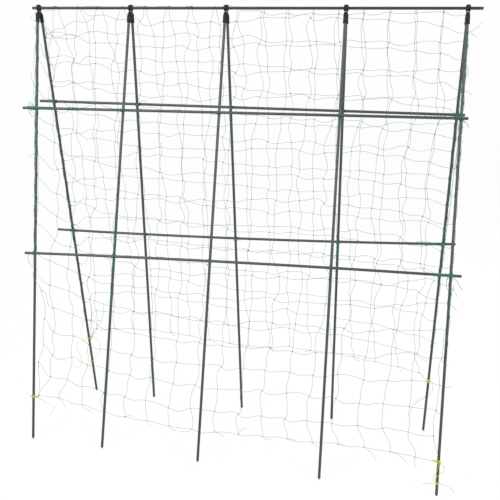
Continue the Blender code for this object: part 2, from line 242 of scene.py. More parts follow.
def calc(tree, operation, *values):
    # One step of arithmetic
    return addNode(tree, "ShaderNodeMath", dict(enumerate(values)), operation=operation)[0]


def noise(tree, place, scale, detail):
    # Cloudy values over a place
    return addNode(tree, "ShaderNodeTexNoise", {"Vector": place, "Scale": scale, "Detail": detail})["Fac"]


def mixed(tree, share, first, second):
    # From the first colour to the second by the share
    values = {"Factor": share, "A": first, "B": second}
    return addNode(tree, "ShaderNodeMix", values, data_type="RGBA")["Result"]


def addGroup(name, inputs, outputs):
    # A node group; an input is a colour or a number by its value, and an output by its name
    tree = bpy.data.node_groups.new(name, "ShaderNodeTree")
    for label, value in inputs.items():
        kind = "NodeSocketFloat" if isinstance(value, float) else "NodeSocketColor"
        tree.interface.new_socket(label, in_out="INPUT", socket_type=kind).default_value = value
    for label in outputs:
        kind = "NodeSocketColor" if label == "Colour" else "NodeSocketFloat"
        tree.interface.new_socket(label, in_out="OUTPUT", socket_type=kind)
    return tree, tree.nodes.new("NodeGroupInput").outputs


def grainGroup():
    # Cloudy colour shift plus a fine grain for moulded and coated plastic
    tree, given = addGroup("mouldGrain", {"Base": (0.1, 0.1, 0.1, 1), "Faded": (0.2, 0.2, 0.2, 1),
                                          "Amount": 0.5, "Patch Scale": 20.0, "Grain Scale": 1500.0},
                           ("Colour", "Roughness Shift", "Height"))
    place = addNode(tree, "ShaderNodeTexCoord")["Object"]
    patch = noise(tree, place, given["Patch Scale"], 4.0)
    grain = noise(tree, place, given["Grain Scale"], 2.0)
    ramp = addNode(tree, "ShaderNodeMapRange", {"From Min": 0.35, "From Max": 0.7, "Value": patch})
    share = calc(tree, "MULTIPLY", ramp["Result"], given["Amount"])
    addNode(tree, "NodeGroupOutput", {"Colour": mixed(tree, share, given["Base"], given["Faded"]),
                                      "Roughness Shift": share, "Height": grain})
    return tree


def twistGroup():
    # Plies wound round a cord: a wave slanted across the piece's own map, u round and v along. The wave gives
    # the plies' relief and paints shade into the grooves between them
    tree, given = addGroup("cordTwist", {"Base": (0.1, 0.3, 0.1, 1), "Groove Shade": (0.02, 0.1, 0.05, 1),
                                         "Plies": 3.0, "Turns Per Metre": 250.0}, ("Colour", "Height"))
    place = addNode(tree, "ShaderNodeUVMap", uv_map="along")["UV"]
    split = addNode(tree, "ShaderNodeSeparateXYZ", {"Vector": place})
    around = calc(tree, "MULTIPLY", split["X"], given["Plies"])
    onward = calc(tree, "MULTIPLY", split["Y"], given["Turns Per Metre"])
    phase = calc(tree, "MULTIPLY", calc(tree, "ADD", around, onward), 2 * math.pi)
    wave = calc(tree, "MULTIPLY_ADD", calc(tree, "SINE", phase), 0.5, 0.5)
    # Painted shade: the grooves between the plies take the darker colour
    colour = mixed(tree, wave, given["Groove Shade"], given["Base"])
    addNode(tree, "NodeGroupOutput", {"Colour": colour, "Height": wave})
    return tree


groups = dict(grain=grainGroup(), twist=twistGroup())
relief = dict(coatDepth=0.0002, cordStrength=0.6, fadedRough=0.15)
coats = dict(
    tube=dict(base=(0.0285, 0.0410, 0.0335), faded=(0.0485, 0.0665, 0.0560), amount=0.6, patch=14.0,
              grain=900.0, rough=0.32, gloss=0.5, bump=0.10),
    # The ridge bar's coat is the tubes' coating drawn darker and duller; its darker colour is painted shade
    ridgeTubeShaded=dict(base=(0.018, 0.027, 0.022), faded=(0.032, 0.045, 0.037), amount=0.6, patch=14.0,
                   grain=900.0, rough=0.38, gloss=0.38, bump=0.10),
    cap=dict(base=(0.040, 0.048, 0.044), faded=(0.060, 0.070, 0.064), amount=0.4, patch=60.0,
             grain=1500.0, rough=0.48, gloss=0.5, bump=0.12),
    rubber=dict(base=(0.0045, 0.0045, 0.005), faded=(0.010, 0.010, 0.011), amount=0.5, patch=90.0,
                grain=2500.0, rough=0.62, gloss=0.30, bump=0.18))
# Each cord's grooveShade colour is painted shade between its plies
cords = dict(
    netThread=dict(base=(0.020, 0.250, 0.112), grooveShade=(0.007, 0.104, 0.045), plies=2.0, turns=330.0,
                   rough=0.55, depth=0.0002),
    greenCord=dict(base=(0.028, 0.325, 0.148), grooveShade=(0.009, 0.148, 0.066), plies=3.0, turns=260.0,
                   rough=0.45, depth=0.0003),
    # The green cord drawn darker and greyer for some lashings: painted shade
    shadedCord=dict(base=(0.052, 0.205, 0.118), grooveShade=(0.026, 0.102, 0.059), plies=3.0, turns=260.0,
                   rough=0.45, depth=0.0003),
    yarn=dict(base=(0.690, 0.730, 0.050), grooveShade=(0.360, 0.400, 0.018), plies=3.0, turns=230.0,
              rough=0.75, depth=0.0004))


def newMaterial(name):
    # With its node tree and its shader
    material = bpy.data.materials.new(name)
    material.use_nodes = True
    return material, material.node_tree, material.node_tree.nodes["Principled BSDF"]


def patterned(name, group, values, strength, depth):
    # A material whose colour and relief come from a group at the given values
    material, tree, shader = newMaterial(name)
    pattern = addNode(tree, "ShaderNodeGroup", values, node_tree=groups[group])
    bump = addNode(tree, "ShaderNodeBump", {"Strength": strength, "Distance": depth,
                                            "Height": pattern["Height"]})
    setInputs(tree, shader, {"Base Color": pattern["Colour"], "Normal": bump["Normal"]})
    return material, tree, shader, pattern


def coatMaterial(name, look):
    # Plastic, duller where it has faded
    values = {"Base": (*look["base"], 1), "Faded": (*look["faded"], 1), "Amount": look["amount"],
              "Patch Scale": look["patch"], "Grain Scale": look["grain"]}
    material, tree, shader, pattern = patterned(name, "grain", values, look["bump"], relief["coatDepth"])
    rough = calc(tree, "MULTIPLY_ADD", pattern["Roughness Shift"], relief["fadedRough"], look["rough"])
    setInputs(tree, shader, {"Specular IOR Level": look["gloss"], "Roughness": rough})
    return material


def cordMaterial(name, look):
    # Twisted cord, with painted shade between its plies
    values = {"Base": (*look["base"], 1), "Groove Shade": (*look["grooveShade"], 1), "Plies": look["plies"],
              "Turns Per Metre": look["turns"]}
    material, tree, shader = patterned(name, "twist", values, relief["cordStrength"], look["depth"])[:3]
    setInputs(tree, shader, {"Roughness": look["rough"]})
    return material


finish = {name: coatMaterial(name, look) for name, look in coats.items()}
finish.update({name: cordMaterial(name, look) for name, look in cords.items()})
print("materials made")


# Pieces
def lay(obj, coat, body, *nodes):
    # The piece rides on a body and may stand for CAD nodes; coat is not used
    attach(obj, bodies[body])
    if nodes:
        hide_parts(*nodes)


def addPiece(name, parts, coat, body, *nodes, sharpAngle=None):
    # One piece of the model, all of it on one body
    obj = meshObject(name, parts, finish[coat], sharpAngle)
    lay(obj, coat, body, *nodes)
    return obj


def addBlended(name, parts, coat, side, start, end):
    # One mesh set in place in the scene, on no body; start and end are not used
    obj = meshObject(name, parts, finish[coat])
    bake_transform(obj)
    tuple(start)
    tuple(end)


def addLoose(name, side, path, radius, around, coat):
    # A free run of cord along the path
    run = addPiece(name, [sweep(path, outward(side), radius, around)], coat, side)


# Stakes, bars and their caps
tubeLook = dict(around=32, sharp=0.6, capSharp=0.7, footCollar=0.0060, footCollarEnd=0.012, footCone=0.008,
                tip=0.002, capLength=0.011, capProud=0.0001, capDome=0.0045, capsPast=0.006)


def addTurned(name, start, way, profile, normal, coat, body, *nodes):
    # A body of revolution from the start along the way
    path, radii = profileAlong(start, way, profile)
    addPiece(name, [sweep(path, normal, radii, tubeLook["around"])], coat, body, *nodes,
             sharpAngle=tubeLook["capSharp" if coat == "cap" else "sharp"])


def buildStake(side, index):
    # A bar from under the ridge down to the foot, where a cap has a collar and a cone
    look, length, radius, foot = tubeLook, stance["tubeLength"], stance["tubeRadius"], stance["footDistance"]
    top = foot - length * math.cos(stakeLean(side, index))
    start, end = (onFrame(side, stakeX(side, index, drop), stance["stakeOut"], drop) for drop in (top, foot))
    joint, cone = length - look["footCollarEnd"], length - look["footCone"]
    collar, tip = look["footCollar"], look["tip"]
    bar = [(0.0, radius - 0.0005), (0.0005, radius), (joint + 0.001, radius)]
    cap = [(joint, radius - 0.0006), (joint, collar - 0.0003), (joint + 0.0004, collar),
           (cone - 0.0006, collar), (cone + 0.0004, collar - 0.0004), (length - 0.0009, tip + 0.0005),
           (length - 0.0002, tip + 0.0001), (length, tip - 0.0003)]
    name, normal = f"{side}Stake{index + 1}", outward(side)
    addTurned(name, start, end - start, bar, normal, "tube", side, f"stake_{side}_{index + 1}")
    addTurned(name + "Foot", start, end - start, cap, normal, "cap", side)


def buildBar(name, body, node, path, coat="tube"):
    # path runs the whole length of the bar; a domed cap is over each end
    look, normal = tubeLook, (0.0, 0.0, 1.0)
    radius, proud = stance["tubeRadius"], stance["tubeRadius"] + look["capProud"]
    addPiece(name, [sweep(path, normal, radius, look["around"])], coat, body, node, sharpAngle=look["sharp"])
    profile = roundedEnd(proud, look["capDome"]) + [(look["capLength"] - 0.0006, proud),
                                                    (look["capLength"], radius - 0.0002)]
    for label, end, inner in (("LeftCap", path[0], path[1]), ("RightCap", path[-1], path[-2])):
        way = unit(inner - end)
        addTurned(name + label, end - 0.0002 * way, way, profile, normal, "cap", body)


def buildTubes():
    # Five stakes and two bars for each side, and the bar along the ridge
    span = stance["tubeLength"] - tubeLook["capsPast"]
    for side in sides:
        for index in range(5):
            buildStake(side, index)
        for level in ("upper", "lower"):
            x = crossbars[side, level][0] + np.linspace(-0.5, 0.5, 25) * span
            path = onFrame(side, x, stance["stakeOut"] + stance["crossbarStep"], barDrop(side, level, x))
            buildBar(f"{side}{level.capitalize()}Bar", side, f"crossbar_{side}_{level}", path)
    x = stance["ridgeCentre"] - stance["middle"] + np.linspace(-0.5, 0.5, 9) * span
    path = np.stack([x, 0 * x, 0 * x + stance["ridgeHeight"]], -1)
    # The ridge bar takes the tube coating painted darker, as shade
    buildBar("ridgeBar", "ridge", "ridge_bar", path, "ridgeTubeShaded")
    print("tubes built")


buildTubes()


# Connectors, moulded in one from rubber: a loop round the bar, a neck with an oval slot, a web down to each
# side and a sleeve over each stake
jointLook = dict(loopOuter=0.0106, loopInner=0.0057, loopHalf=0.0086, beadRadius=0.0031, beadHalf=0.0076,
                 beadLevel=0.0099, beadDome=0.0016, slotLevel=0.0107, slotHalf=(0.0034, 0.0022),
                 linkHalf=(0.0068, 0.0052), linkDepth=0.0062, grain=0.00055, smooth=6, sectionAround=20,
                 partingHeight=0.00016, partingWidth=0.05, partingCrowd=0.3, sleeveSharp=0.9,
                 loopAround=48, slotAround=40, blockAround=28, webAround=36, sleeveAround=56,
                 roundFrom=0.018, roundOver=0.010, bendStart=(0.003, 0.0165), bendEnd=(0.0095, 0.0275))
# The power of each rounded rectangle: 1 makes it round, 0 square
roundPowers = dict(loop=0.35, link=0.55, slot=0.8, block=0.6, web=0.65)
# Down from the ridge axis, half width and half depth of the block under the slot
jointBlock = [(0.0135, 0.0050, 0.0040), (0.0140, 0.0062, 0.0056), (0.0155, 0.0066, 0.0063),
              (0.0180, 0.0067, 0.0068), (0.0205, 0.0073, 0.0082), (0.0225, 0.0076, 0.0092),
              (0.0240, 0.0074, 0.0090), (0.0250, 0.0060, 0.0076)]
# The web's middle outward and down, its half width and half depth
webShape = [(0.0012, 0.0150, 0.0040, 0.0020), (0.0020, 0.0155, 0.0062, 0.0044),
            (0.0034, 0.0180, 0.0068, 0.0052), (0.0056, 0.0212, 0.0073, 0.0062),
            (0.0078, 0.0245, 0.0077, 0.0072), (0.0091, 0.0272, 0.0080, 0.0079),
            (0.0095, 0.0298, 0.00825, 0.00825), (0.0095, 0.0312, 0.00825, 0.00825),
            (0.0095, 0.0316, 0.0079, 0.0079), (0.0095, 0.0317, 0.0066, 0.0066)]
# Distance along the stake and radius of the sleeve: down its outside, over the lip, up the bore
sleeveShape = [(0.0262, 0.0030), (0.0266, 0.0056), (0.0276, 0.0071), (0.0292, 0.0078), (0.0320, 0.0080),
               (0.0440, 0.0079), (0.0528, 0.0080), (0.0537, 0.0083), (0.0543, 0.0090), (0.0550, 0.0092),
               (0.0562, 0.0092), (0.0568, 0.0089), (0.0570, 0.0084), (0.0570, 0.0064), (0.0565, 0.0059),
               (0.0540, 0.0057), (0.0420, 0.0057)]


def rounded(turn, power):
    # Cosine and sine drawn out to a rounded rectangle: each raised to a power, its sign kept
    c, s = np.cos(turn), np.sin(turn)
    return np.sign(c) * np.abs(c) ** power, np.sign(s) * np.abs(s) ** power


def twoAngles(count):
    # Angle a round an opening, and angle b round the section of what goes round it
    return np.meshgrid(angles(count), angles(jointLook["sectionAround"]), indexing="ij")


def loopBand():
    # A band round the bar with a rounded rectangle for its section
    look = jointLook
    a, b = twoAngles(look["loopAround"])
    thick, wide = rounded(b, roundPowers["loop"])
    radius = (look["loopOuter"] + look["loopInner"]) / 2 + (look["loopOuter"] - look["loopInner"]) / 2 * thick
    return ringGrid(np.stack([look["loopHalf"] * wide, -radius * np.cos(a), radius * np.sin(a)], -1), True)


def slotLink():
    # The rubber between the slot and the neck's outside, both rounded rectangles
    look = jointLook
    a, b = twoAngles(look["slotAround"])
    thick, deep = rounded(b, roundPowers["link"])
    part = 0.5 + 0.5 * thick
    across, up = rounded(a, roundPowers["slot"])
    x = across * (look["slotHalf"][0] * (1 - part) + look["linkHalf"][0] * part)
    z = up * (look["slotHalf"][1] * (1 - part) + look["linkHalf"][1] * part) - look["slotLevel"]
    return ringGrid(np.stack([x, look["linkDepth"] * deep, z], -1), True)


def blockUnderSlot():
    # Rounded rectangles one below the other
    shape = np.array(jointBlock)
    wide, deep = rounded(angles(jointLook["blockAround"]), roundPowers["block"])
    return ringGrid(np.stack([shape[:, 1:2] * wide, -shape[:, 2:3] * deep, -shape[:, :1] + 0 * wide], -1))


def slotBead():
    # A short round bar above the slot, domed at both ends
    half = jointLook["beadHalf"]
    dome = roundedEnd(jointLook["beadRadius"], jointLook["beadDome"])
    path, radii = profileAlong(np.array([-half, 0, jointLook["beadLevel"]]), (1, 0, 0),
                               dome + [(2 * half - d, r) for d, r in dome[::-1]])
    return sweep(path, (0, 0, 1.0), radii, jointLook["sectionAround"])


def asOneMoulding(parts):
    # Closed surfaces that overlap become one skin, whose inner corners are then rounded
    rough = meshObject("connectorRough", parts, finish["rubber"])
    remesh = rough.modifiers.new("oneSkin", "REMESH")
    remesh.mode = "VOXEL"
    remesh.voxel_size = jointLook["grain"]
    soften = rough.modifiers.new("soften", "SMOOTH")
    soften.factor, soften.iterations = 0.5, jointLook["smooth"]
    mesh = bpy.data.meshes.new_from_object(rough.evaluated_get(bpy.context.evaluated_depsgraph_get()))
    points = np.empty(3 * len(mesh.vertices), np.float32)
    corners = np.empty(len(mesh.loops), np.int32)
    mesh.vertices.foreach_get("co", points)
    mesh.loops.foreach_get("vertex_index", corners)
    bpy.data.objects.remove(rough)
    bpy.data.meshes.remove(mesh)
    return points.reshape(-1, 3).astype(float), corners.reshape(-1, 4)


def buildLoops():
    # One moulding, set at every station
    points, quads = asOneMoulding([loopBand(), slotLink(), blockUnderSlot(), slotBead()])
    for index, station in enumerate(stance["stations"]):
        place = np.array([station - stance["middle"], 0, stance["ridgeHeight"]])
        loop = makeObject(f"connectorLoop{index + 1}", points + place, [quads], finish["rubber"])
        lay(loop, "rubber", "ridge", f"connector_{index + 1}")


def buildWeb(side, index):
    # Rounded rectangles that become round on their way down to the sleeve
    shape, look = np.array(webShape), jointLook
    turn, station = angles(look["webAround"]), stance["stations"][index]
    roundness = np.clip((shape[:, 1] - look["roundFrom"]) / look["roundOver"], 0, 1)[:, None]
    c, s = rounded(turn, roundPowers["web"])
    wide = c * (1 - roundness) + np.cos(turn) * roundness
    deep = s * (1 - roundness) + np.sin(turn) * roundness
    rings = onFrame(side, station + shape[:, 2:3] * wide, shape[:, :1] - shape[:, 3:] * deep, shape[:, 1:2])
    skin = ringGrid(rings if sides[side] > 0 else rings[:, ::-1])
    start, end = (tuple(onFrame(side, station, *look[key])) for key in ("bendStart", "bendEnd"))
    addBlended(f"{side}Web{index + 1}", [skin], "rubber", side, start, end)


def buildSleeve(side, index):
    # Turned about the stake's axis, with a thin parting line down each side
    lean, station = stakeLean(side, index), stance["stations"][index]
    base, foot = (onFrame(side, station + math.tan(lean) * d, stance["stakeOut"], d) for d in (0.0, 1.0))
    way, normal = unit(foot - base), np.array([1.0, 0, 0])
    normal = unit(normal - normal @ way * way)
    shape = np.array(sleeveShape)
    turn = angles(jointLook["sleeveAround"])
    turn = turn - jointLook["partingCrowd"] * np.sin(2 * turn)
    outside = (np.arange(len(shape)) > 2) & (np.arange(len(shape)) < 12)
    parting = jointLook["partingHeight"] * np.exp(-(np.sin(turn) / jointLook["partingWidth"]) ** 2)
    radius = shape[:, 1:] + parting * outside[:, None]
    rings = base + shape[:, :1, None] * way + radius[..., None] * circle(turn, normal, np.cross(way, normal))
    addPiece(f"{side}Sleeve{index + 1}", [ringGrid(rings)], "rubber", side, f"sleeve_{side}_{index + 1}",
             sharpAngle=jointLook["sleeveSharp"])


def buildConnectors():
    # Five loops on the ridge bar, each with a web and a sleeve for either side
    buildLoops()
    for side in sides:
        for index in range(5):
            buildWeb(side, index)
            buildSleeve(side, index)
    print("connectors moulded")


buildConnectors()


# The net: knots on a lattice laid over the ridge bar, then wavy threads from knot to knot
netLook = dict(left=-0.859, right=0.892, cells=18, threadRadius=0.00058, steps=8, around=5,
               ridgeRadius=0.0064, firstOut=0.0198, firstDrop=0.060, onStakes=0.0168, overBars=0.0108,
               barFlat=0.012, barReach=0.27, topReach=0.10, humpEdge=0.019, humpSlope=0.008,
               humpHeight=0.0078, twist=0.16, twistSpread=0.25, lastTwist=0.4, loose=1.15, topPull=1.3,
               sway=0.0030, sag=0.002, lift=0.0012, jitter=0.0035, firstCalm=0.35, lastCalm=0.15,
               mess=0.009, messRow=3, messSpread=3.0, onBar=3, leastOnBar=0.001, leastBelow=0.03,
               bendTop=0.008, bendOut=0.018, bendEnd=dict(front=0.035, rear=0.085))
# Knots take the map point of the painted groove shade, so they are painted darker
knotLook = dict(radius=0.0019, sizes=(0.85, 1.2), turned=0.7, lift=0.0002, grooveShade=(0.375, 0.0))
endLook = dict(curls=[-0.55, 0.45], low=0.0006, high=0.007, thinner=0.3, leastDrop=0.031)
# The thread round an end stake: its turn in degrees at shares of the way between two knots
edgeLook = dict(radius=0.0068, slack=0.0009, steps=24, shares=(0, 0.3, 0.7, 1), turns=(60, 172, 188, 420))
# Drops of the first and last row at each column; then for some columns how far they drift
# sideways and how far the rows between bow from even spacing, row by row, in millimetres
netShape = {
    "front": dict(
        cells=17,
        first=(2, 2, 12, 37, 50, 58, 58, 58, 58, 54, 42, 42, 42, 43, 45, 49, 54, 67, 88),
        last=(1629, 1632, 1630, 1648, 1666, 1675, 1680, 1690, 1690, 1690, 1689, 1681, 1680, 1678, 1672,
              1672, 1676, 1682, 1692),
        drift={0: (13, 14, 15, 16, 18, 20, 22, 24, 26, 27, 28, 30, 32, 75, 86, 82, 68, 66),
               1: (4, 8, 8, 9, 6, 10, 20, 36, 42, 42, 34, 14, 20, 32, 36, 34, 20, -26),
               2: (0, -2, 6, 0, 2, 4, 8, 12, 16, 14, 6, -2, 9, 18, 25, 28, 4, -33),
               3: (-13, -9, 0, -4, 0, 4, 6, 10, 14, 12, 6, -2, 2, 6, 8, 4, -25, -20),
               10: (-5, -3, 5, 11, 0, -13, -10, -7, 0, -2, 22, 17, 11, 7, -3, -8, -16, -10),
               16: (-7, 0, 8, 22, 2, -15, -20, -15, -5, 5, 37, 20, 3, -7, -12, -20, -17, 16),
               17: (-10, -6, 1, 24, -5, -20, -23, -24, -22, -21, 39, 11, -1, -10, -17, -22, -23, 16),
               18: (-14, -14, -13, -12, -11, -10, -9, -8, -6, -5, -3, -2, -6, -10, -16, -23, -20, 5)},
        bow={0: (0, -36, -56, -62, -64, -55, -70, -70, -73, -67, -69, -50, -55, -76, -48, -32, -48, 0),
             1: (0, 2, 4, 6, 5, -8, -18, -10, -15, -16, -8, -11, -7, -4, -1, 2, 5, 0),
             2: (0, 6, 9, 11, 11, 10, 9, 9, 8, 8, 8, 8, 10, 13, 14, 11, 8, 0),
             (4, 15): (0, 2, 6, 6, 11, 11, 13, 16, 19, 21, 21, 17, 18, 23, 16, 11, 12, 0),
             17: (0, 2, 7, 10, 11, 14, 21, 24, 23, 16, -24, -29, -22, -21, -11, -8, -6, 0),
             18: (0, 4, 13, 14, 7, 15, 26, 36, 35, 15, -25, -45, -39, -28, -20, -12, -8, 0)}),
    "rear": dict(
        cells=15,
        first=(8, 6, 4, 4, 3, 2, 2, 2, 4, 12, 23, 28, 26, 25, 24, 22, 22, 20, 28),
        last=(1541, 1481, 1470, 1460, 1455, 1460, 1468, 1478, 1486, 1487, 1486, 1469, 1478, 1480, 1488,
              1500, 1515, 1534, 1572),
        drift={0: (21, 25, 28, 31, 35, 38, 42, 45, 49, 52, 55, 59, 62, 66, 69, 72),
               (1, 3): (8, 26, 28, 26, 26, 24, 26, 28, 30, 34, 30, 32, 36, 30, 22, 16),
               10: (2, 5, 5, 6, 8, 8, 8, 10, 8, 10, 4, -4, -10, -6, 0, 2),
               16: (-5, -4, -2, 2, -2, -4, -6, -2, -6, -6, -14, -20, -28, -24, -10, 8),
               17: (-8, -10, -9, -8, -3, -10, -10, -11, -7, -8, -10, -20, -25, -30, -20, 5),
               18: (-22, -24, -26, -28, -30, -32, -34, -36, -38, -40, -42, -44, -46, -48, -50, -50)},
        bow={(0, 2): (0, 4, 8, 12, 16, 20, 26, 30, 30, 26, 22, 16, 10, 6, 2, 0),
             (4, 15): (0, 3, 6, 10, 14, 17, 20, 24, 26, 26, 22, 18, 14, 10, 5, 0),
             17: (0, 0, 2, 3, 6, 4, 3, 2, 6, 6, 6, 7, 10, 12, 10, 0),
             18: (0, -16, -12, -10, -8, -6, -4, 4, 0, 0, 4, 8, 10, 12, 10, 0)})}
# The stretches where an outer column is laced round its end stake: column, first row, last row
netLaced = {"front": ((0, 1, 12), (18, 0, 11)), "rear": ((0, 1, 14), (18, 1, 13))}


def edgeStake(column):
    # The end stake at an outer column of the net, and which way across leads on to the net
    return (0, 1) if column == 0 else (4, -1)


def spreadAcross(lists):
    # Values at every column and row: each row's values run straight between the listed columns
    rows = {column: row for columns, row in lists.items() for column in np.atleast_1d(columns)}
    stops = sorted(rows)
    table = np.array([rows[k] for k in stops], float)
    return np.stack([np.interp(np.arange(netLook["cells"] + 1), stops, row) for row in table.T], 1) / 1000


def netKnots(side):
    # Column i and row j: x is even between the edges plus the drift, and the drop is even between
    # the first and last row plus the bow; laced knots sit on the inner front of the end stakes
    look, shape, cells, rows = netLook, netShape[side], netLook["cells"], netShape[side]["cells"]
    i, j = np.meshgrid(np.arange(cells + 1), np.arange(rows + 1), indexing="ij")
    x = look["left"] + (look["right"] - look["left"]) * i / cells + spreadAcross(shape["drift"])
    first, last = np.array(shape["first"])[:, None] / 1000, np.array(shape["last"])[:, None] / 1000
    drop = first + (last - first) * (j / rows) + spreadAcross(shape["bow"])
    near = np.exp(-(i / look["messSpread"]) ** 2) * np.exp(-((j - look["messRow"]) / look["messSpread"]) ** 2)
    calm = np.where(j == 0, look["firstCalm"], np.where(j == rows, look["lastCalm"], 1.0))
    amount = (look["jitter"] + look["mess"] * near) * calm
    corner = (j == rows) & ((i == 0) | (i == cells))
    shift = np.where(corner, 0.0, rng.normal(size=(2,) + i.shape).clip(-2, 2) * amount)
    onBar = (side == "rear") | ((j == 0) & (i < look["onBar"]))
    least = np.where(onBar, look["leastOnBar"], look["leastBelow"])
    x, drop = x + shift[0], np.maximum(drop + shift[1], least)
    for column, start, stop in netLaced[side]:
        index, hand = edgeStake(column)
        laced = slice(start, stop + 1)
        x[column, laced] = stakeX(side, index, drop[column, laced]) + hand * 0.5 * edgeLook["radius"]
    return x, drop


def netOut(side, x, drop):
    # The net is tight between what it lies on: a tent over each crossbar, down to the stakes
    look = netLook
    tent = np.zeros(np.broadcast(x, drop).shape)
    for level in ("upper", "lower"):
        away = np.abs(drop - barDrop(side, level, x))
        tent = np.maximum(tent, np.clip(1 - (away - look["barFlat"]) / look["barReach"], 0, 1))
    near = np.clip(1 - (drop - look["firstDrop"]) / look["topReach"], 0, 1)
    return look["onStakes"] + look["overBars"] * tent + (look["firstOut"] - look["onStakes"]) * near


def ridgeTangent():
    # Where a thread leaves the ridge bar on its way to the first point on the frame
    point = onFrame("rear", stance["middle"], netLook["firstOut"], netLook["firstDrop"])[1:]
    point = point - (0, stance["ridgeHeight"])
    reach = np.hypot(*point)
    turn = math.atan2(point[0], point[1]) - math.acos(netLook["ridgeRadius"] / reach)
    return turn, math.sqrt(reach ** 2 - netLook["ridgeRadius"] ** 2), point


def onNet(side, x, drop, lift=0.0):
    # A point of the net's surface: past the first point it lies on the frame, before it on the
    # straight run up to the bar, and at the top on the bar's round, drop being 0 at the very top;
    # over a connector the round has a hump
    look = netLook
    x, drop, lift = (np.array(v, float) for v in np.broadcast_arrays(x, drop, lift))
    turn, run, point = ridgeTangent()
    radius = look["ridgeRadius"]
    arc = radius * turn
    away = drop / look["firstDrop"] * (arc + run)
    angle = np.clip(away / radius, 0, turn)
    nearest = np.min(np.abs(x[..., None] - np.array(stance["stations"])), -1)
    hump = np.clip((look["humpEdge"] - nearest) / look["humpSlope"], 0, 1)
    ring = radius + lift + look["humpHeight"] * hump ** 2 * (3 - 2 * hump)
    way = np.clip((away - arc) / run, 0, 1)
    y = np.where(away < arc, ring * np.sin(angle), radius * np.sin(turn) * (1 - way) + point[0] * way + lift)
    z = np.where(away < arc, ring * np.cos(angle), radius * np.cos(turn) * (1 - way) + point[1] * way)
    high = np.stack([x - stance["middle"], sides[side] * y, stance["ridgeHeight"] + z], -1)
    low = onFrame(side, x, netOut(side, x, drop) + lift, drop)
    return np.where((drop < look["firstDrop"])[..., None], high, low)


def netNormal(side, drop):
    # Outward of the net: up at the top of the bar, outward of the frame further down
    part = np.clip(np.asarray(drop) / 0.02, 0, 1)[..., None]
    return unit(part * outward(side) + (1 - part) * np.array([0.0, 0.0, 1.0]))


def hermite(p0, p1, t0, t1, t):
    # The cubic from p0 to p1 that leaves along t0 and comes in along t1
    t = t[:, None]
    return ((2 * t ** 3 - 3 * t ** 2 + 1) * p0[..., None, :] + (t ** 3 - 2 * t ** 2 + t) * t0[..., None, :]
            + (3 * t ** 2 - 2 * t ** 3) * p1[..., None, :] + (t ** 3 - t ** 2) * t1[..., None, :])


def knotBead():
    # A lumpy knot of 4 rings of 6 points, one point at each end
    turn, rise = angles(6), np.array([0.30, 0.42, 0.58, 0.70]) * np.pi
    lumps = 1 + 0.22 * np.cos(3 * turn[None] + 2.1 * np.arange(4)[:, None])
    wide = np.array([0.75, 1.15, 1.0, 0.7])[:, None] * lumps
    rings = np.stack([wide * np.cos(turn), wide * np.sin(turn), np.cos(rise)[:, None] * 1.25 + 0 * wide], -1)
    verts = np.concatenate([rings.reshape(-1, 3), [[0, 0, 1.15], [0, 0, -1.15]]])
    a, b = np.arange(6), (np.arange(6) + 1) % 6
    walls = np.concatenate([np.stack([6 * (k + 1) + a, 6 * (k + 1) + b, 6 * k + b, 6 * k + a], -1)
                            for k in range(3)])
    tips = np.concatenate([np.stack([a, b, 0 * a + 24], -1), np.stack([18 + b, 18 + a, 0 * a + 25], -1)])
    return verts, walls, tips


def knotsAt(side, x, drop, spin):
    # One bead at each place of the net, its long way turned by the spin in the net's plane; its walls map to
    # a point in the painted shade between two plies, so knots are painted darker, as shade among close
    # threads
    look, normals = knotLook, netNormal(side, drop)
    way = unit(np.cross(normals, np.array([0.0, 0.0, 1.0])) + np.array([1e-6, 0, 0]))
    directions = circle(spin + look["turned"], way, np.cross(normals, way)).reshape(-1, 1, 3)
    places = onNet(side, x, np.maximum(drop, 0.0), look["lift"]).reshape(-1, 1, 3)
    normals = normals.reshape(-1, 1, 3)
    bead, walls, tips = knotBead()
    size = look["radius"] * rng.uniform(*look["sizes"], (len(places), 1, 1))
    verts = places + size * (bead[:, :1] * normals + bead[:, 1:2] * np.cross(normals, directions)
                             + bead[:, 2:] * directions)
    shift = (np.arange(len(places)) * len(bead))[:, None, None]
    faces = [(walls + shift).reshape(-1, 4), (tips + shift).reshape(-1, 3)]
    return verts.reshape(-1, 3), faces, np.tile(look["grooveShade"], (faces[0].size, 1))


def chained(spans):
    # Spans (n, k, s) that follow each other as n whole runs, a shared point taken once
    return np.concatenate([spans[:, :, :-1].reshape(len(spans), -1, *spans.shape[3:]), spans[:, -1, -1:]], 1)


def netSweep(side, path, lift, radius=netLook["threadRadius"], least=0.0):
    # A thread along a path in the net's own flat map of x and drop, lifted onto its surface
    places = onNet(side, path[..., 0], np.maximum(path[..., 1], least), lift)
    return sweep(places, netNormal(side, path[..., 1]), radius, netLook["around"])


def threads(side, lines, tangents, across):
    # Wavy threads through the points of each line (n, k, 2) of the flat map; those that run
    # across also sag a little
    look = netLook
    t = np.linspace(0, 1, look["steps"] + 1)
    cell = (look["right"] - look["left"]) / look["cells"]
    gap = np.linalg.norm(lines[:, 1:] - lines[:, :-1], axis=-1, keepdims=True) / cell
    curves = hermite(lines[:, :-1], lines[:, 1:], tangents[:, :-1] * gap, tangents[:, 1:] * gap, t)
    hump = 16 * t ** 2 * (1 - t) ** 2
    sway = rng.normal(0, look["sway"], gap.shape) * gap * hump
    sag = look["sag"] * gap * hump
    curves = curves + (np.stack([0 * sway, sway + sag], -1) if across else np.stack([sway, 0 * sway], -1))
    lift = np.abs(rng.normal(0, look["lift"], gap.shape)) * np.sin(np.pi * t) ** 2
    return netSweep(side, chained(curves), chained(lift))


def coilRadius(radius):
    # How far a cord wound on a tube lies from the tube's axis
    return stance["tubeRadius"] + radius + 0.0001


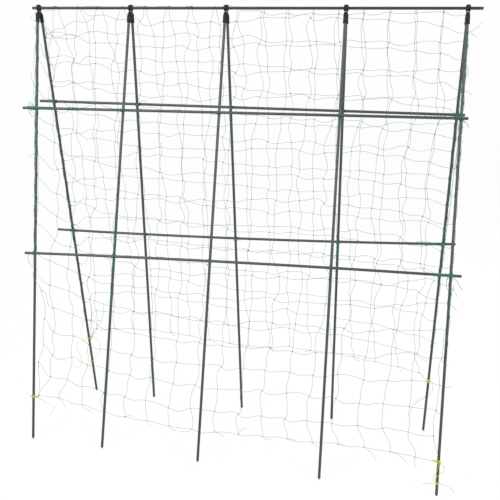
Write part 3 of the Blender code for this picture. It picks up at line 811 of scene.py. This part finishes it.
def roundStake(side, index, drop, turn, coil, radius, around, hand=1):
    # A cord wound round a stake: at turn 0 it is on the hand's side, a quarter on it is outside
    x = stakeX(side, index, drop) + hand * coil * np.cos(turn)
    path = onFrame(side, x, stance["stakeOut"] + coil * np.sin(turn), drop)
    return sweep(path, circle(turn, np.array([hand, 0.0, 0.0]), outward(side)), radius, around)


def lacedThread(side, column, knots):
    # From each knot to the next once round the stake, longest along its outer edge: the angle is
    # 60 degrees at a knot and near 180 for the middle of the way
    look = edgeLook
    index, hand = edgeStake(column)
    row = np.arange(look["steps"] * (len(knots) - 1) + 1) / look["steps"]
    turn = np.radians(np.interp(row % 1, look["shares"], look["turns"]))
    drop = np.interp(row, np.arange(len(knots)), knots[:, 1])
    radius = look["radius"] + look["slack"] * np.sin(np.pi * (row % 1)) ** 2
    return roundStake(side, index, drop, turn, radius, netLook["threadRadius"], netLook["around"], hand)


def edgeThreads(side, flat, columnThreads, firstRow):
    # The outer columns: laced where they lie on a stake, free above and below
    parts = []
    for column, start, stop in netLaced[side]:
        parts.append(lacedThread(side, column, flat[column, start:stop + 1]))
        top = 1 if column < netLook["onBar"] else firstRow
        for begin, end in ((top, start), (stop, flat.shape[1] - 1)):
            if end > begin:
                parts.append(columnThreads(np.s_[column:column + 1, begin:end + 1]))
    return parts


# Cut ends of threads: column, row, then how far the end lies across and down, in millimetres
netEnds = {"front": [(c, 17, a, d) for c, a, d in (
               (2, 32, 39), (3, 44, 20), (5, 45, -6), (6, 20, 18), (7, 40, 14), (8, -50, 14), (9, 42, 15),
               (10, 33, -34), (11, 48, 6), (12, 36, 3), (13, 28, 14), (14, 28, 1), (15, 50, 50), (16, 66, 34),
               (17, 8, 40))]
           + [(18, r, a, d) for r, a, d in (
               (0, 52, -34), (0, 38, 20), (1, 16, 62), (2, 40, 22), (3, 24, 28), (4, 16, 20), (10, 30, 40),
               (11, 34, 28), (13, 30, 26), (14, 46, -2), (15, 22, 14))]
           + [(0, r, a, d) for r, a, d in (
               (1, -38, -30), (2, -16, -52), (4, -22, -60), (5, -16, -12), (7, -22, 12), (9, -18, -30),
               (16, 8, 20))],
           "rear": [(c, 15, a, d) for c, a, d in (
               (2, 20, 22), (4, -24, 16), (5, 26, 14), (7, 30, 20), (8, 24, -10), (10, 22, 20), (12, -30, 10),
               (14, 24, 22), (16, 18, 30))]
           + [(0, r, -18, d) for r, d in ((2, -20), (5, 12), (8, -16), (12, 10))]
           + [(18, r, 20, d) for r, d in ((1, 8), (4, 20), (7, -14), (10, 18), (13, 12))]}
# Threads pulled out of line near the front's upper left corner, and drawn in to the rear's lower
# left tie: points across and down, in millimetres
netStrays = {"front": [[(-804, 72), (-772, 102), (-735, 159), (-732, 182), (-742, 222), (-748, 252),
                        (-754, 294)],
                       [(-801, 116), (-772, 102), (-743, 88), (-721, 86), (-695, 70), (-664, 56), (-620, 61),
                        (-582, 45)],
                       [(-773, 104), (-740, 100), (-700, 108), (-664, 114)]],
             "rear": [[(-693, 1344), (-700, 1385), (-715, 1435), (-736, 1467), (-750, 1494), (-771, 1520),
                       (-784, 1533)],
                      [(-756, 1341), (-763, 1391), (-768, 1445), (-764, 1481), (-768, 1510), (-782, 1533)],
                      [(-715, 1435), (-746, 1436), (-785, 1438), (-808, 1445), (-818, 1469), (-818, 1487)]]}


def endThreads(side, x, drop):
    # Each cut end leaves its knot and curls over to where it stops
    picked, look = np.array(netEnds[side], float), endLook
    i, j = picked[:, 0].astype(int), picked[:, 1].astype(int)
    start = np.stack([x[i, j], drop[i, j]], -1)
    reach = picked[:, 2:] / 1000
    curl = np.stack([reach[:, 1], -reach[:, 0]], -1) * rng.choice(look["curls"], (len(reach), 1))
    t = np.linspace(0, 1, 9)
    path = hermite(start, start + reach, reach + curl, reach - curl, t)
    lift = look["low"] + rng.uniform(0, look["high"], (len(reach), 1)) * t ** 1.5
    radius = netLook["threadRadius"] * (1 - look["thinner"] * t ** 4)
    return netSweep(side, path, lift, radius, look["leastDrop"])


def strayThreads(side):
    # Smooth curves through the points, close to the net's surface
    return [netSweep(side, drawn(points), endLook["low"]) for points in netStrays[side]]


# Green cord that laces the net's edges to the end stakes: column, first and last row, and the
# rows where it is wound tight
laceCords = {"front": [(0, 2, 11, (2, 4, 6, 7, 9)), (18, 0, 5, (0, 1, 2, 4)), (18, 10, 13, (11, 12))],
             "rear": [(0, 4, 10, (5, 6, 8, 9)), (18, 3, 10, (3, 6, 7, 8, 9))]}
laceLook = dict(radius=0.00065, around=6, tight=3.0, reach=0.10, perTurn=18, crowd=1.5, waves=9,
                slack=dict(front=0.0005, rear=0.0008))


def buildLacing(side, drop):
    # Turns grow by one for each row, and by the tight ones within a short reach of a knot; the
    # path steps evenly in turns
    look = laceLook
    for k, (column, start, stop, tight) in enumerate(laceCords[side]):
        index, hand = edgeStake(column)
        row = np.linspace(start, stop, 120 * (stop - start) + 1)
        extra = sum(np.clip((row - r) / look["reach"] + 0.5, 0, 1) for r in tight)
        turns = row - start + look["tight"] * extra
        even = np.linspace(0, turns[-1], int(look["perTurn"] * turns[-1]))
        down = np.interp(np.interp(even, turns, row), np.arange(drop.shape[1]), drop[column])
        cord = roundStake(side, index, down, 2 * np.pi * even, coilRadius(look["radius"]), look["radius"],
                          look["around"], hand)
        addPiece(f"{side}Lacing{'Left' if column == 0 else 'Right'}{k + 1}", [cord], "greenCord", side)


def buildNet():
    # Threads run along every row and column, with a bead at every knot. What comes up over the ridge bar is a
    # piece of its own
    look, cells = netLook, netLook["cells"]
    cell = (look["right"] - look["left"]) / cells
    lattice = {side: netKnots(side) for side in sides}
    topX = (lattice["front"][0][:, 0] + lattice["rear"][0][:, 0]) / 2
    top = np.stack([topX, 0 * topX], -1)[:, None]
    pull = np.tile([0, cell * look["topPull"]], (cells + 1, 1, 1))
    for side, (x, drop) in lattice.items():
        isFront = side == "front"
        spin = rng.normal(look["twist"], look["twistSpread"], x.shape)
        spin[:, -1] *= look["lastTwist"]
        flat = np.stack([x, drop], -1)
        alongRow = np.stack([np.cos(spin), np.sin(spin)], -1) * cell * look["loose"]
        alongColumn = np.stack([-np.sin(spin), np.cos(spin)], -1) * cell * look["loose"]

        def rowThreads(picked):
            return threads(side, flat[picked].transpose(1, 0, 2), alongRow[picked].transpose(1, 0, 2), True)

        def columnThreads(picked):
            return threads(side, flat[picked], alongColumn[picked], False)

        def knots(picked):
            return knotsAt(side, x[picked], drop[picked], spin[picked])

        def overTheBar(columns, rows):
            # Columns from the very top of the bar down to their first knots
            return threads(side, np.concatenate([top[columns], flat[columns, :rows]], 1),
                           np.concatenate([pull[columns], alongColumn[columns, :rows]], 1), False)

        # Row 0 lies on the bar in the front's first columns and in all of the rear's
        early = look["onBar"] if isFront else cells + 1
        main = [rowThreads(np.s_[:, 1:]), columnThreads(np.s_[1:early, 1:]), knots(np.s_[:, 1:]),
                endThreads(side, x, drop)]
        if isFront:
            main += [rowThreads(np.s_[early:, :1]), columnThreads(np.s_[early:-1]), knots(np.s_[early:, :1])]
        else:
            main[1] = columnThreads(np.s_[1:-1, 1:])  # drawn again, without the last column
        main += strayThreads(side) + edgeThreads(side, flat, columnThreads, 0 if isFront else 1)
        addPiece(side + "Net", main, "netThread", side, f"net_{side}")
        buildLacing(side, drop)
        over = [overTheBar(np.s_[early:], 1)] if isFront else []
        over += [overTheBar(np.s_[:early], 2), rowThreads(np.s_[:early + 1, :1]), knots(np.s_[:early, :1])]
        start = (0, 0, stance["ridgeHeight"] + look["bendTop"])
        end = tuple(onFrame(side, stance["middle"], look["bendOut"], look["bendEnd"][side]))
        addBlended(side + "NetTop", over, "netThread", side, start, end)
    print("net tied")


# Slack stretches of that cord beside the end stakes: side, stake, then points across from the
# stake, down it and outward of the ridge plane, in millimetres
slackRuns = [("front", 1, [(-6, 140, 12), (-11, 175, 12), (-14, 225, 12), (-11, 285, 12), (-14, 335, 12),
                           (-9, 385, 13), (-6, 400, 13)]),
             ("front", 1, [(-6, 425, 12), (-8, 450, 12), (-7, 520, 12), (-8, 590, 12), (-6, 640, 12)]),
             ("front", 1, [(6, 545, 12), (9, 580, 12), (13, 640, 12), (12, 720, 12), (13, 790, 12),
                           (9, 850, 12), (6, 880, 12)]),
             ("front", 5, [(-6, 410, 12), (-8, 440, 12), (-7, 500, 12), (-8, 560, 12), (-6, 600, 12)]),
             ("rear", 5, [(6, 400, 8), (10, 440, 8), (14, 500, 8), (14, 560, 8), (12, 620, 8), (12, 700, 8),
                          (12, 780, 8), (9, 850, 8), (6, 900, 8)]),
             ("rear", 5, [(6, 930, 8), (9, 955, 8), (8, 985, 6), (1, 1005, 3), (-7, 1030, 6), (-8, 1060, 8),
                          (-6, 1080, 9)])]
# The same cord wound on along stakes and bars: side, stake or bar, from and to in millimetres
# down the stake or across the bar, and turns
windings = [("front", 2, 850, 997, 14), ("front", 2, 1028, 1210, 19), ("front", 2, 1425, 1590, 18),
            ("front", 3, 735, 830, 8), ("front", 4, 864, 930, 8), ("front", 4, 1022, 1092, 10),
            ("rear", 2, 402, 495, 10), ("rear", 2, 1600, 1745, 15), ("rear", 3, 405, 560, 13),
            ("rear", 4, 965, 1120, 14), ("front", "upper", -820, -742, 11), ("front", "upper", -690, -646, 7),
            ("front", "upper", 715, 828, 8), ("rear", "upper", -690, -655, 4)]


def buildSlack():
    # Smooth curves through the points, from one turn of the lacing to another
    for k, (side, stake, points) in enumerate(slackRuns):
        across, down, out = drawn(points).T
        path = onFrame(side, stakeX(side, stake - 1, down) + across, out, down)
        addLoose(f"{side}Slack{k + 1}", side, path, laceLook["slack"][side], laceLook["around"], "greenCord")


def buildWindings():
    # Coils close to the tube, whose turns crowd and open a little on the way
    look = laceLook
    for k, (side, tube, start, stop, turns) in enumerate(windings):
        part = np.linspace(0, 1, look["perTurn"] * turns)
        turn = 2 * np.pi * turns * part + look["crowd"] * np.sin(look["waves"] * part) + k
        place = (start + (stop - start) * part) / 1000
        coil = coilRadius(look["radius"])
        if isinstance(tube, int):
            cord = roundStake(side, tube - 1, place, turn, coil, look["radius"], look["around"])
        else:
            out = stance["stakeOut"] + coil * np.sin(turn) + stance["crossbarStep"]
            path = onFrame(side, place, out, barDrop(side, tube, place) + coil * np.cos(turn))
            down = np.cross(outward(side), [1.0, 0, 0]) * sides[side]
            cord = sweep(path, circle(turn, down, outward(side)), look["radius"], look["around"])
        addPiece(f"{side}Winding{k + 1}", [cord], "greenCord", side)


buildNet()
buildSlack()
buildWindings()


# Lashings: green cord wound crosswise round each crossing, knotted outside with two short ends
lashLook = dict(radius=0.0008, around=7, turns=2.5, few=1.5, thin=0.00055, pitch=0.0019, halfLength=0.0088,
                halfDepth=0.0064, knot=0.00105, knotAside=0.0006, perTurn=28, above=0.0022, apart=0.0011,
                slants=(45, -45), tailReach=(0.006, 0.014), tailFall=(0.008, 0.018))
runLook = dict(perTurn=16, crowd=0.5, waves=9, first=0.006, open=1.15)
# Longer ends and slack loops that hang off some lashings: points across and down from the
# crossing and outward of the stakes, in millimetres
lashLoose = {("front", "lower", 5): [[(4, -2, 28), (10, 10, 30), (22, 17, 27), (30, 30, 22), (46, 52, 14)],
                                     [(-4, 3, 28), (-12, 16, 24), (-13, 40, 16), (-4, 60, 14), (10, 58, 15),
                                      (14, 34, 20)]],
             ("front", "upper", 5): [[(4, 2, 28), (12, 11, 28), (20, 18, 24), (30, 32, 18)]],
             ("front", "lower", 1): [[(-4, 2, 28), (-24, 10, 24), (-27, 32, 18), (-14, 56, 17),
                                      (-3, 62, 18)]],
             ("front", "upper", 1): [[(-4, -3, 28), (-18, -24, 22), (-32, -16, 20), (-31, 6, 20),
                                      (-20, 32, 18), (-8, 36, 18)],
                                     [(-3, 3, 28), (-14, 12, 25), (-24, 2, 23), (-20, -12, 23), (-8, -12, 25),
                                      (-3, 0, 27)]],
             ("rear", "upper", 2): [[(4, -3, 28), (14, -12, 26), (28, -16, 22), (38, -8, 18)]]}
# Windings that run on along the bar from some crossings: how far, in millimetres, and turns
lashRuns = {("front", "lower", 5): (-58, 13), ("front", "upper", 5): (-22, 2),
            ("front", "upper", 1): (-30, 6), ("rear", "upper", 5): (-26, 3),
            ("rear", "lower", 5): (-84, 13), ("rear", "lower", 1): (-18, 4)}
# Crossings tied with fewer turns of a thinner cord
lashFew = {("front", "upper"): (2, 3, 4), ("front", "lower"): (1, 3, 4), ("rear", "upper"): (3, 4),
           ("rear", "lower"): (2,)}
# The crossings of both sides whose green cord is drawn darker and greyer: painted shade
lashShaded = ("upper", 5)


def trefoil(size):
    # A small overhand knot, closed: three lobes that pass over and under each other
    t = angles(36)
    return size * np.stack([np.sin(t) + 2 * np.sin(2 * t), np.cos(t) - 2 * np.cos(2 * t),
                            -1.4 * np.sin(3 * t)], -1)


def lashTurns(angle, turns):
    # Turns round both tubes in the plane of a slanted line and the outward way: half an ellipse
    # round the bar, half an ellipse round the stake; the turns step sideways
    look = lashLook
    t = np.linspace(0.5 * np.pi, (0.5 + 2 * turns) * np.pi, int(look["perTurn"] * turns))
    step = look["pitch"] * (t / (2 * np.pi) - 0.25 - turns / 2)
    blend = np.clip(0.5 + 1.2 * np.sin(t), 0, 1)
    along = look["halfLength"] * np.cos(t) + step * (1 - 2 * blend)
    out = stance["stakeOut"] + stance["crossbarStep"] * blend + look["halfDepth"] * np.sin(t)
    cosine, sine = math.cos(angle), math.sin(angle)
    place = np.stack([along * cosine - step * sine, along * sine + step * cosine, out], -1)
    return place, circle(t, np.array([cosine, sine, 0.0]), np.array([0.0, 0.0, 1.0]))


def fromCrossing(side, x, drop, tilt, local):
    # Local points (across, down, outward) about a crossing, turned by tilt in the frame's plane
    cosine, sine = math.cos(tilt), math.sin(tilt)
    across = local[..., 0] * cosine - local[..., 1] * sine
    down = local[..., 0] * sine + local[..., 1] * cosine
    return onFrame(side, x + across, local[..., 2], drop + down)


def buildLashing(side, level, index):
    # Turns slanted both ways, a knot outside with two tails, and at some crossings a coil that
    # runs on along the bar and loose ends; all tilted halfway between the bar and the stake
    look, key = lashLook, (side, level, index + 1)
    drop = float(barDrop(side, level, stakeX(side, index, crossbars[side, level][1])))
    x = stakeX(side, index, drop)
    slope, out = barSlope(side, level, x), outward(side)
    tilt = (slope - stakeLean(side, index)) / 2
    few = index + 1 in lashFew[side, level]
    turns, radius = (look["few"], look["thin"]) if few else (look["turns"], look["radius"])

    def wound(local, normal, thickness, closed=False):
        # A run of cord through local points; its normals are local too, apart from the outward way
        if normal is not out:
            here = fromCrossing(side, 0.0, 0.0, tilt, np.zeros(3))
            normal = fromCrossing(side, 0.0, 0.0, tilt, normal) - here
        return sweep(fromCrossing(side, x, drop, tilt, local), normal, thickness, look["around"], closed)

    parts = []
    for slant in look["slants"]:
        place, normal = lashTurns(math.radians(slant), turns)
        if slant < 0:
            place = place + normal * look["apart"] * np.clip(np.sin(np.arctan2(normal[:, 2:], 0.6)), 0, 1)
        parts.append(wound(place, normal, radius))
    top = stance["stakeOut"] + stance["crossbarStep"] + look["halfDepth"] + look["above"]
    parts.append(wound(trefoil(look["knot"]) + (look["knotAside"], 0.0, top), out, radius, True))
    for hand in (-1, 1):
        reach, fall = rng.uniform(*look["tailReach"]), rng.uniform(*look["tailFall"])
        points = [(0, 0, top), (hand * 0.004, -0.001, top + 0.0012), (hand * reach, 0.002, top + 0.001),
                  (hand * (reach + 0.003), fall, top - 0.002)]
        parts.append(wound(smoothPath(points, 14), out, radius))
    if key in lashRuns:
        # A helix round the bar that opens as it goes
        way, rounds = lashRuns[key]
        part = np.linspace(0, 1, runLook["perTurn"] * rounds)
        turn = 2 * np.pi * rounds * part + runLook["crowd"] * np.sin(runLook["waves"] * part)
        reach = math.copysign(runLook["first"], way) + way / 1000 * part ** runLook["open"]
        coil = coilRadius(look["radius"])
        local = np.stack([reach, coil * np.sin(turn) + (slope - tilt) * reach,
                          stance["stakeOut"] + stance["crossbarStep"] + coil * np.cos(turn)], -1)
        parts.append(wound(local, np.stack([0 * turn, np.sin(turn), np.cos(turn)], -1), look["radius"]))
    name = f"{side}{level.capitalize()}Lashing{index + 1}"
    # Those crossings get the darker cord, which is painted shade
    cord = "shadedCord" if (level, index + 1) == lashShaded else "greenCord"
    addPiece(name, parts, cord, side, f"tie_{side}_{level}_{index + 1}")
    for k, points in enumerate(lashLoose.get(key, [])):
        path = fromCrossing(side, x, drop, 0.0, drawn(points))
        addLoose(f"{name}End{k + 1}", side, path, look["radius"], look["around"], cord)


for side in sides:
    for level in ("upper", "lower"):
        for index in range(5):
            buildLashing(side, level, index)
print("crossings lashed")


# Yarn that ties the net's corners: where its first turn is, the fine loose yarn's radius, turns
# round the stake at each drop below that, knots across and down in millimetres, and loose runs:
# points across from the stake and down from the first turn, outward of the stakes, in millimetres
yarnLook = dict(radius=0.00090, around=8, perTurn=24, pitch=0.0021, wobble=0.0008, wobbles=3,
                knot=0.0013, knotOut=0.0028)
yarnTies = {
    ("front", "left"): dict(
        drop=1.638, fine=0.00060, turns=[(0.0, 4.5)], knots=[(-4, 0), (4, 1), (11, -1), (18, 0), (24, -3)],
        loose=[[(5, 0, 20), (20, 2, 20), (60, 16, 17), (96, 30, 15), (106, 37, 14), (98, 52, 14),
                (84, 74, 14)],
               [(3, 2, 20), (34, 3, 19), (50, 11, 17), (64, 24, 16)],
               [(-3, 0, 20), (-16, -4, 20), (-33, -10, 17)]]),
    ("front", "right"): dict(
        drop=1.690, fine=0.00085, turns=[(0.0, 3.5), (0.086, 2.5)],
        knots=[(-19, -3), (-11, -1), (-3, 1), (5, 6), (2, 88)],
        loose=[[(5, 3, 19), (14, 7, 20), (23, 18, 19), (21, 34, 18), (10, 44, 18), (2, 56, 18), (-8, 70, 18),
                (-4, 84, 18)],
               [(2, 88, 19), (-14, 90, 17), (-34, 93, 15), (-54, 97, 14)],
               [(4, 88, 19), (24, 87, 17), (38, 91, 15), (54, 102, 14), (70, 115, 13)],
               [(-4, 5, 19), (2, 22, 20), (-6, 42, 19), (-15, 62, 18), (-13, 78, 18), (-1, 86, 19)]]),
    ("rear", "left"): dict(
        drop=1.532, fine=0.00065, turns=[(0.0, 4.5), (0.126, 2.5)],
        knots=[(-8, 4), (-1, 1), (7, -1), (-1, 126)],
        loose=[[(5, 0, 19), (18, 2, 20), (38, 12, 20), (50, 30, 19), (50, 60, 18), (36, 90, 18),
                (12, 112, 18), (2, 124, 18)],
               [(-4, 2, 19), (-18, 12, 18), (-33, 21, 17), (-62, 33, 15), (-75, 50, 15), (-72, 81, 15),
                (-60, 115, 15), (-59, 148, 14), (-68, 168, 14), (-84, 181, 13), (-99, 177, 13),
                (-103, 168, 13)],
               [(-2, 127, 18), (-10, 142, 16), (-17, 166, 14), (-22, 186, 14)]]),
    ("rear", "right"): dict(
        drop=1.558, fine=0.00070, turns=[(0.005, 9.0)], knots=[(-1, -4), (-3, 5), (1, 14)],
        loose=[[(4, 4, 19), (18, 28, 20), (21, 54, 19), (10, 84, 18), (-8, 101, 18), (-34, 121, 16),
                (-57, 146, 15), (-66, 178, 14), (-78, 212, 13)],
               [(2, 90, 19), (-14, 99, 18), (-33, 108, 17), (-45, 132, 16), (-64, 146, 15)]])}


def buildYarn(side, end):
    # Turns that climb by the pitch and wobble a little, knots outside them, and loose runs
    tie, look, out = yarnTies[side, end], yarnLook, outward(side)
    index = 0 if end == "left" else 4
    lean = footShifts[side][index] / stance["footDistance"]
    coil = coilRadius(look["radius"])
    x, parts = stakeX(side, index, tie["drop"]), []
    for below, turns in tie["turns"]:
        t = np.linspace(0, 2 * np.pi * turns, int(look["perTurn"] * turns))
        drop = tie["drop"] + below + look["pitch"] * (t / (2 * np.pi) - turns / 2)
        drop = drop + look["wobble"] * np.sin(look["wobbles"] * t)
        parts.append(roundStake(side, index, drop, t, coil, look["radius"], look["around"]))
    for across, down in tie["knots"]:
        knot = trefoil(look["knot"])
        path = onFrame(side, x + across / 1000 + lean * down / 1000 + knot[:, 0],
                       stance["stakeOut"] + coil + look["knotOut"] + knot[:, 2],
                       tie["drop"] + down / 1000 + knot[:, 1])
        parts.append(sweep(path, out, look["radius"], look["around"], True))
    name = f"{side}{end.capitalize()}Yarn"
    addPiece(name, parts, "yarn", side, f"net_tie_{side}_{end}")
    for k, points in enumerate(tie["loose"]):
        across, down, away = drawn(points, 9).T
        path = onFrame(side, x + across, away, tie["drop"] + down)
        addLoose(f"{name}End{k + 1}", side, path, tie["fine"], look["around"], "yarn")


for side, end in yarnTies:
    buildYarn(side, end)
print("corners tied")


# Floor, light and camera
stageLook = dict(size=30.0, floor=(0.28, 0.28, 0.28, 1), floorRough=0.9, floorGlow=1.09, glowShare=0.86,
                 sky=0.99, skyColour=(1, 1, 1, 1), horizon=0.20, overhead=1.20)
lamps = [("key", (-2.0, -3.6, 2.8), 2.4, 120, (0, 0, 1.3)), ("fill", (3.4, -2.8, 1.9), 2.4, 70, (0, 0, 1.3)),
         ("back", (0.5, 3.6, 3.2), 2.6, 60, (0, 0, 1.0))]  # place, size, power, aim
cameraLook = dict(sensor=36.0, lens=52.915, shift=(-0.02444, 0.02060), place=(0.78724, -2.89123, 1.55819),
                  turn=(75.8933, -1.1765, 13.3943))


def directRays(tree):
    # 1 for what the camera sees straight, in a gloss or through glass, otherwise 0
    path = addNode(tree, "ShaderNodeLightPath")
    both = calc(tree, "MAXIMUM", path["Is Camera Ray"], path["Is Glossy Ray"])
    return calc(tree, "MAXIMUM", both, path["Is Transmission Ray"])


def mixShaders(tree, share, first, second, output):
    # From the first shader to the second by the share
    mix = addNode(tree, "ShaderNodeMixShader", {"Fac": share, 1: first, 2: second})
    setInputs(tree, tree.nodes[output], {"Surface": mix["Shader"]})


def buildFloor():
    # A square plane that glows for direct rays and takes shadows
    look, size = stageLook, stageLook["size"]
    material, tree, shader = newMaterial("paleFloor")
    setInputs(tree, shader, {"Base Color": look["floor"], "Roughness": look["floorRough"]})
    share = calc(tree, "MULTIPLY", directRays(tree), look["glowShare"])
    glow = addNode(tree, "ShaderNodeEmission", {"Strength": look["floorGlow"]})["Emission"]
    mixShaders(tree, share, shader.outputs["BSDF"], glow, "Material Output")
    verts = np.array([(-size, -size, 0), (size, -size, 0), (size, size, 0), (-size, size, 0)])
    makeObject("floor", verts, [np.array([[0, 1, 2, 3]])], material)


def buildLight():
    # A sky that is dimmer near the horizon than overhead, and white for direct rays, with 3 lamps
    world = bpy.data.worlds.new("studio")
    bpy.context.scene.world = world
    world.use_nodes = True
    tree, look = world.node_tree, stageLook
    place = addNode(tree, "ShaderNodeTexCoord")["Generated"]
    split = addNode(tree, "ShaderNodeSeparateXYZ", {"Vector": place})
    rise = addNode(tree, "ShaderNodeMapRange", {"From Min": 0.0, "From Max": 0.70, "To Min": look["horizon"],
                                                "To Max": look["overhead"], "Value": split["Z"]})
    plain = tree.nodes["Background"]
    setInputs(tree, plain, {"Color": look["skyColour"], "Strength": rise["Result"]})
    white = addNode(tree, "ShaderNodeBackground", {"Color": look["skyColour"], "Strength": look["sky"]})
    mixShaders(tree, directRays(tree), plain.outputs["Background"], white["Background"], "World Output")
    for name, place, size, power, aim in lamps:
        lamp = bpy.data.lights.new(name, "AREA")
        lamp.size = size
        lamp.energy = power
        obj = bpy.data.objects.new(name, lamp)
        obj.location = place
        x, y, z = np.array(aim, float) - place
        obj.rotation_euler = (math.atan2(math.hypot(x, y), -z), 0, math.atan2(x, -y) + math.pi)
        bpy.context.scene.collection.objects.link(obj)


def buildCamera():
    # Where the photograph was taken from, with its viewing angle
    camera = bpy.data.cameras.new("photoView")
    camera.sensor_width = cameraLook["sensor"]
    camera.lens = cameraLook["lens"]
    camera.shift_x, camera.shift_y = cameraLook["shift"]
    obj = bpy.data.objects.new("photoView", camera)
    obj.location = cameraLook["place"]
    obj.rotation_euler = tuple(math.radians(a) for a in cameraLook["turn"])
    bpy.context.scene.collection.objects.link(obj)
    bpy.context.scene.camera = obj


buildFloor()
buildLight()
buildCamera()
bpy.context.scene.view_settings.view_transform = "Standard"
print("stage set")
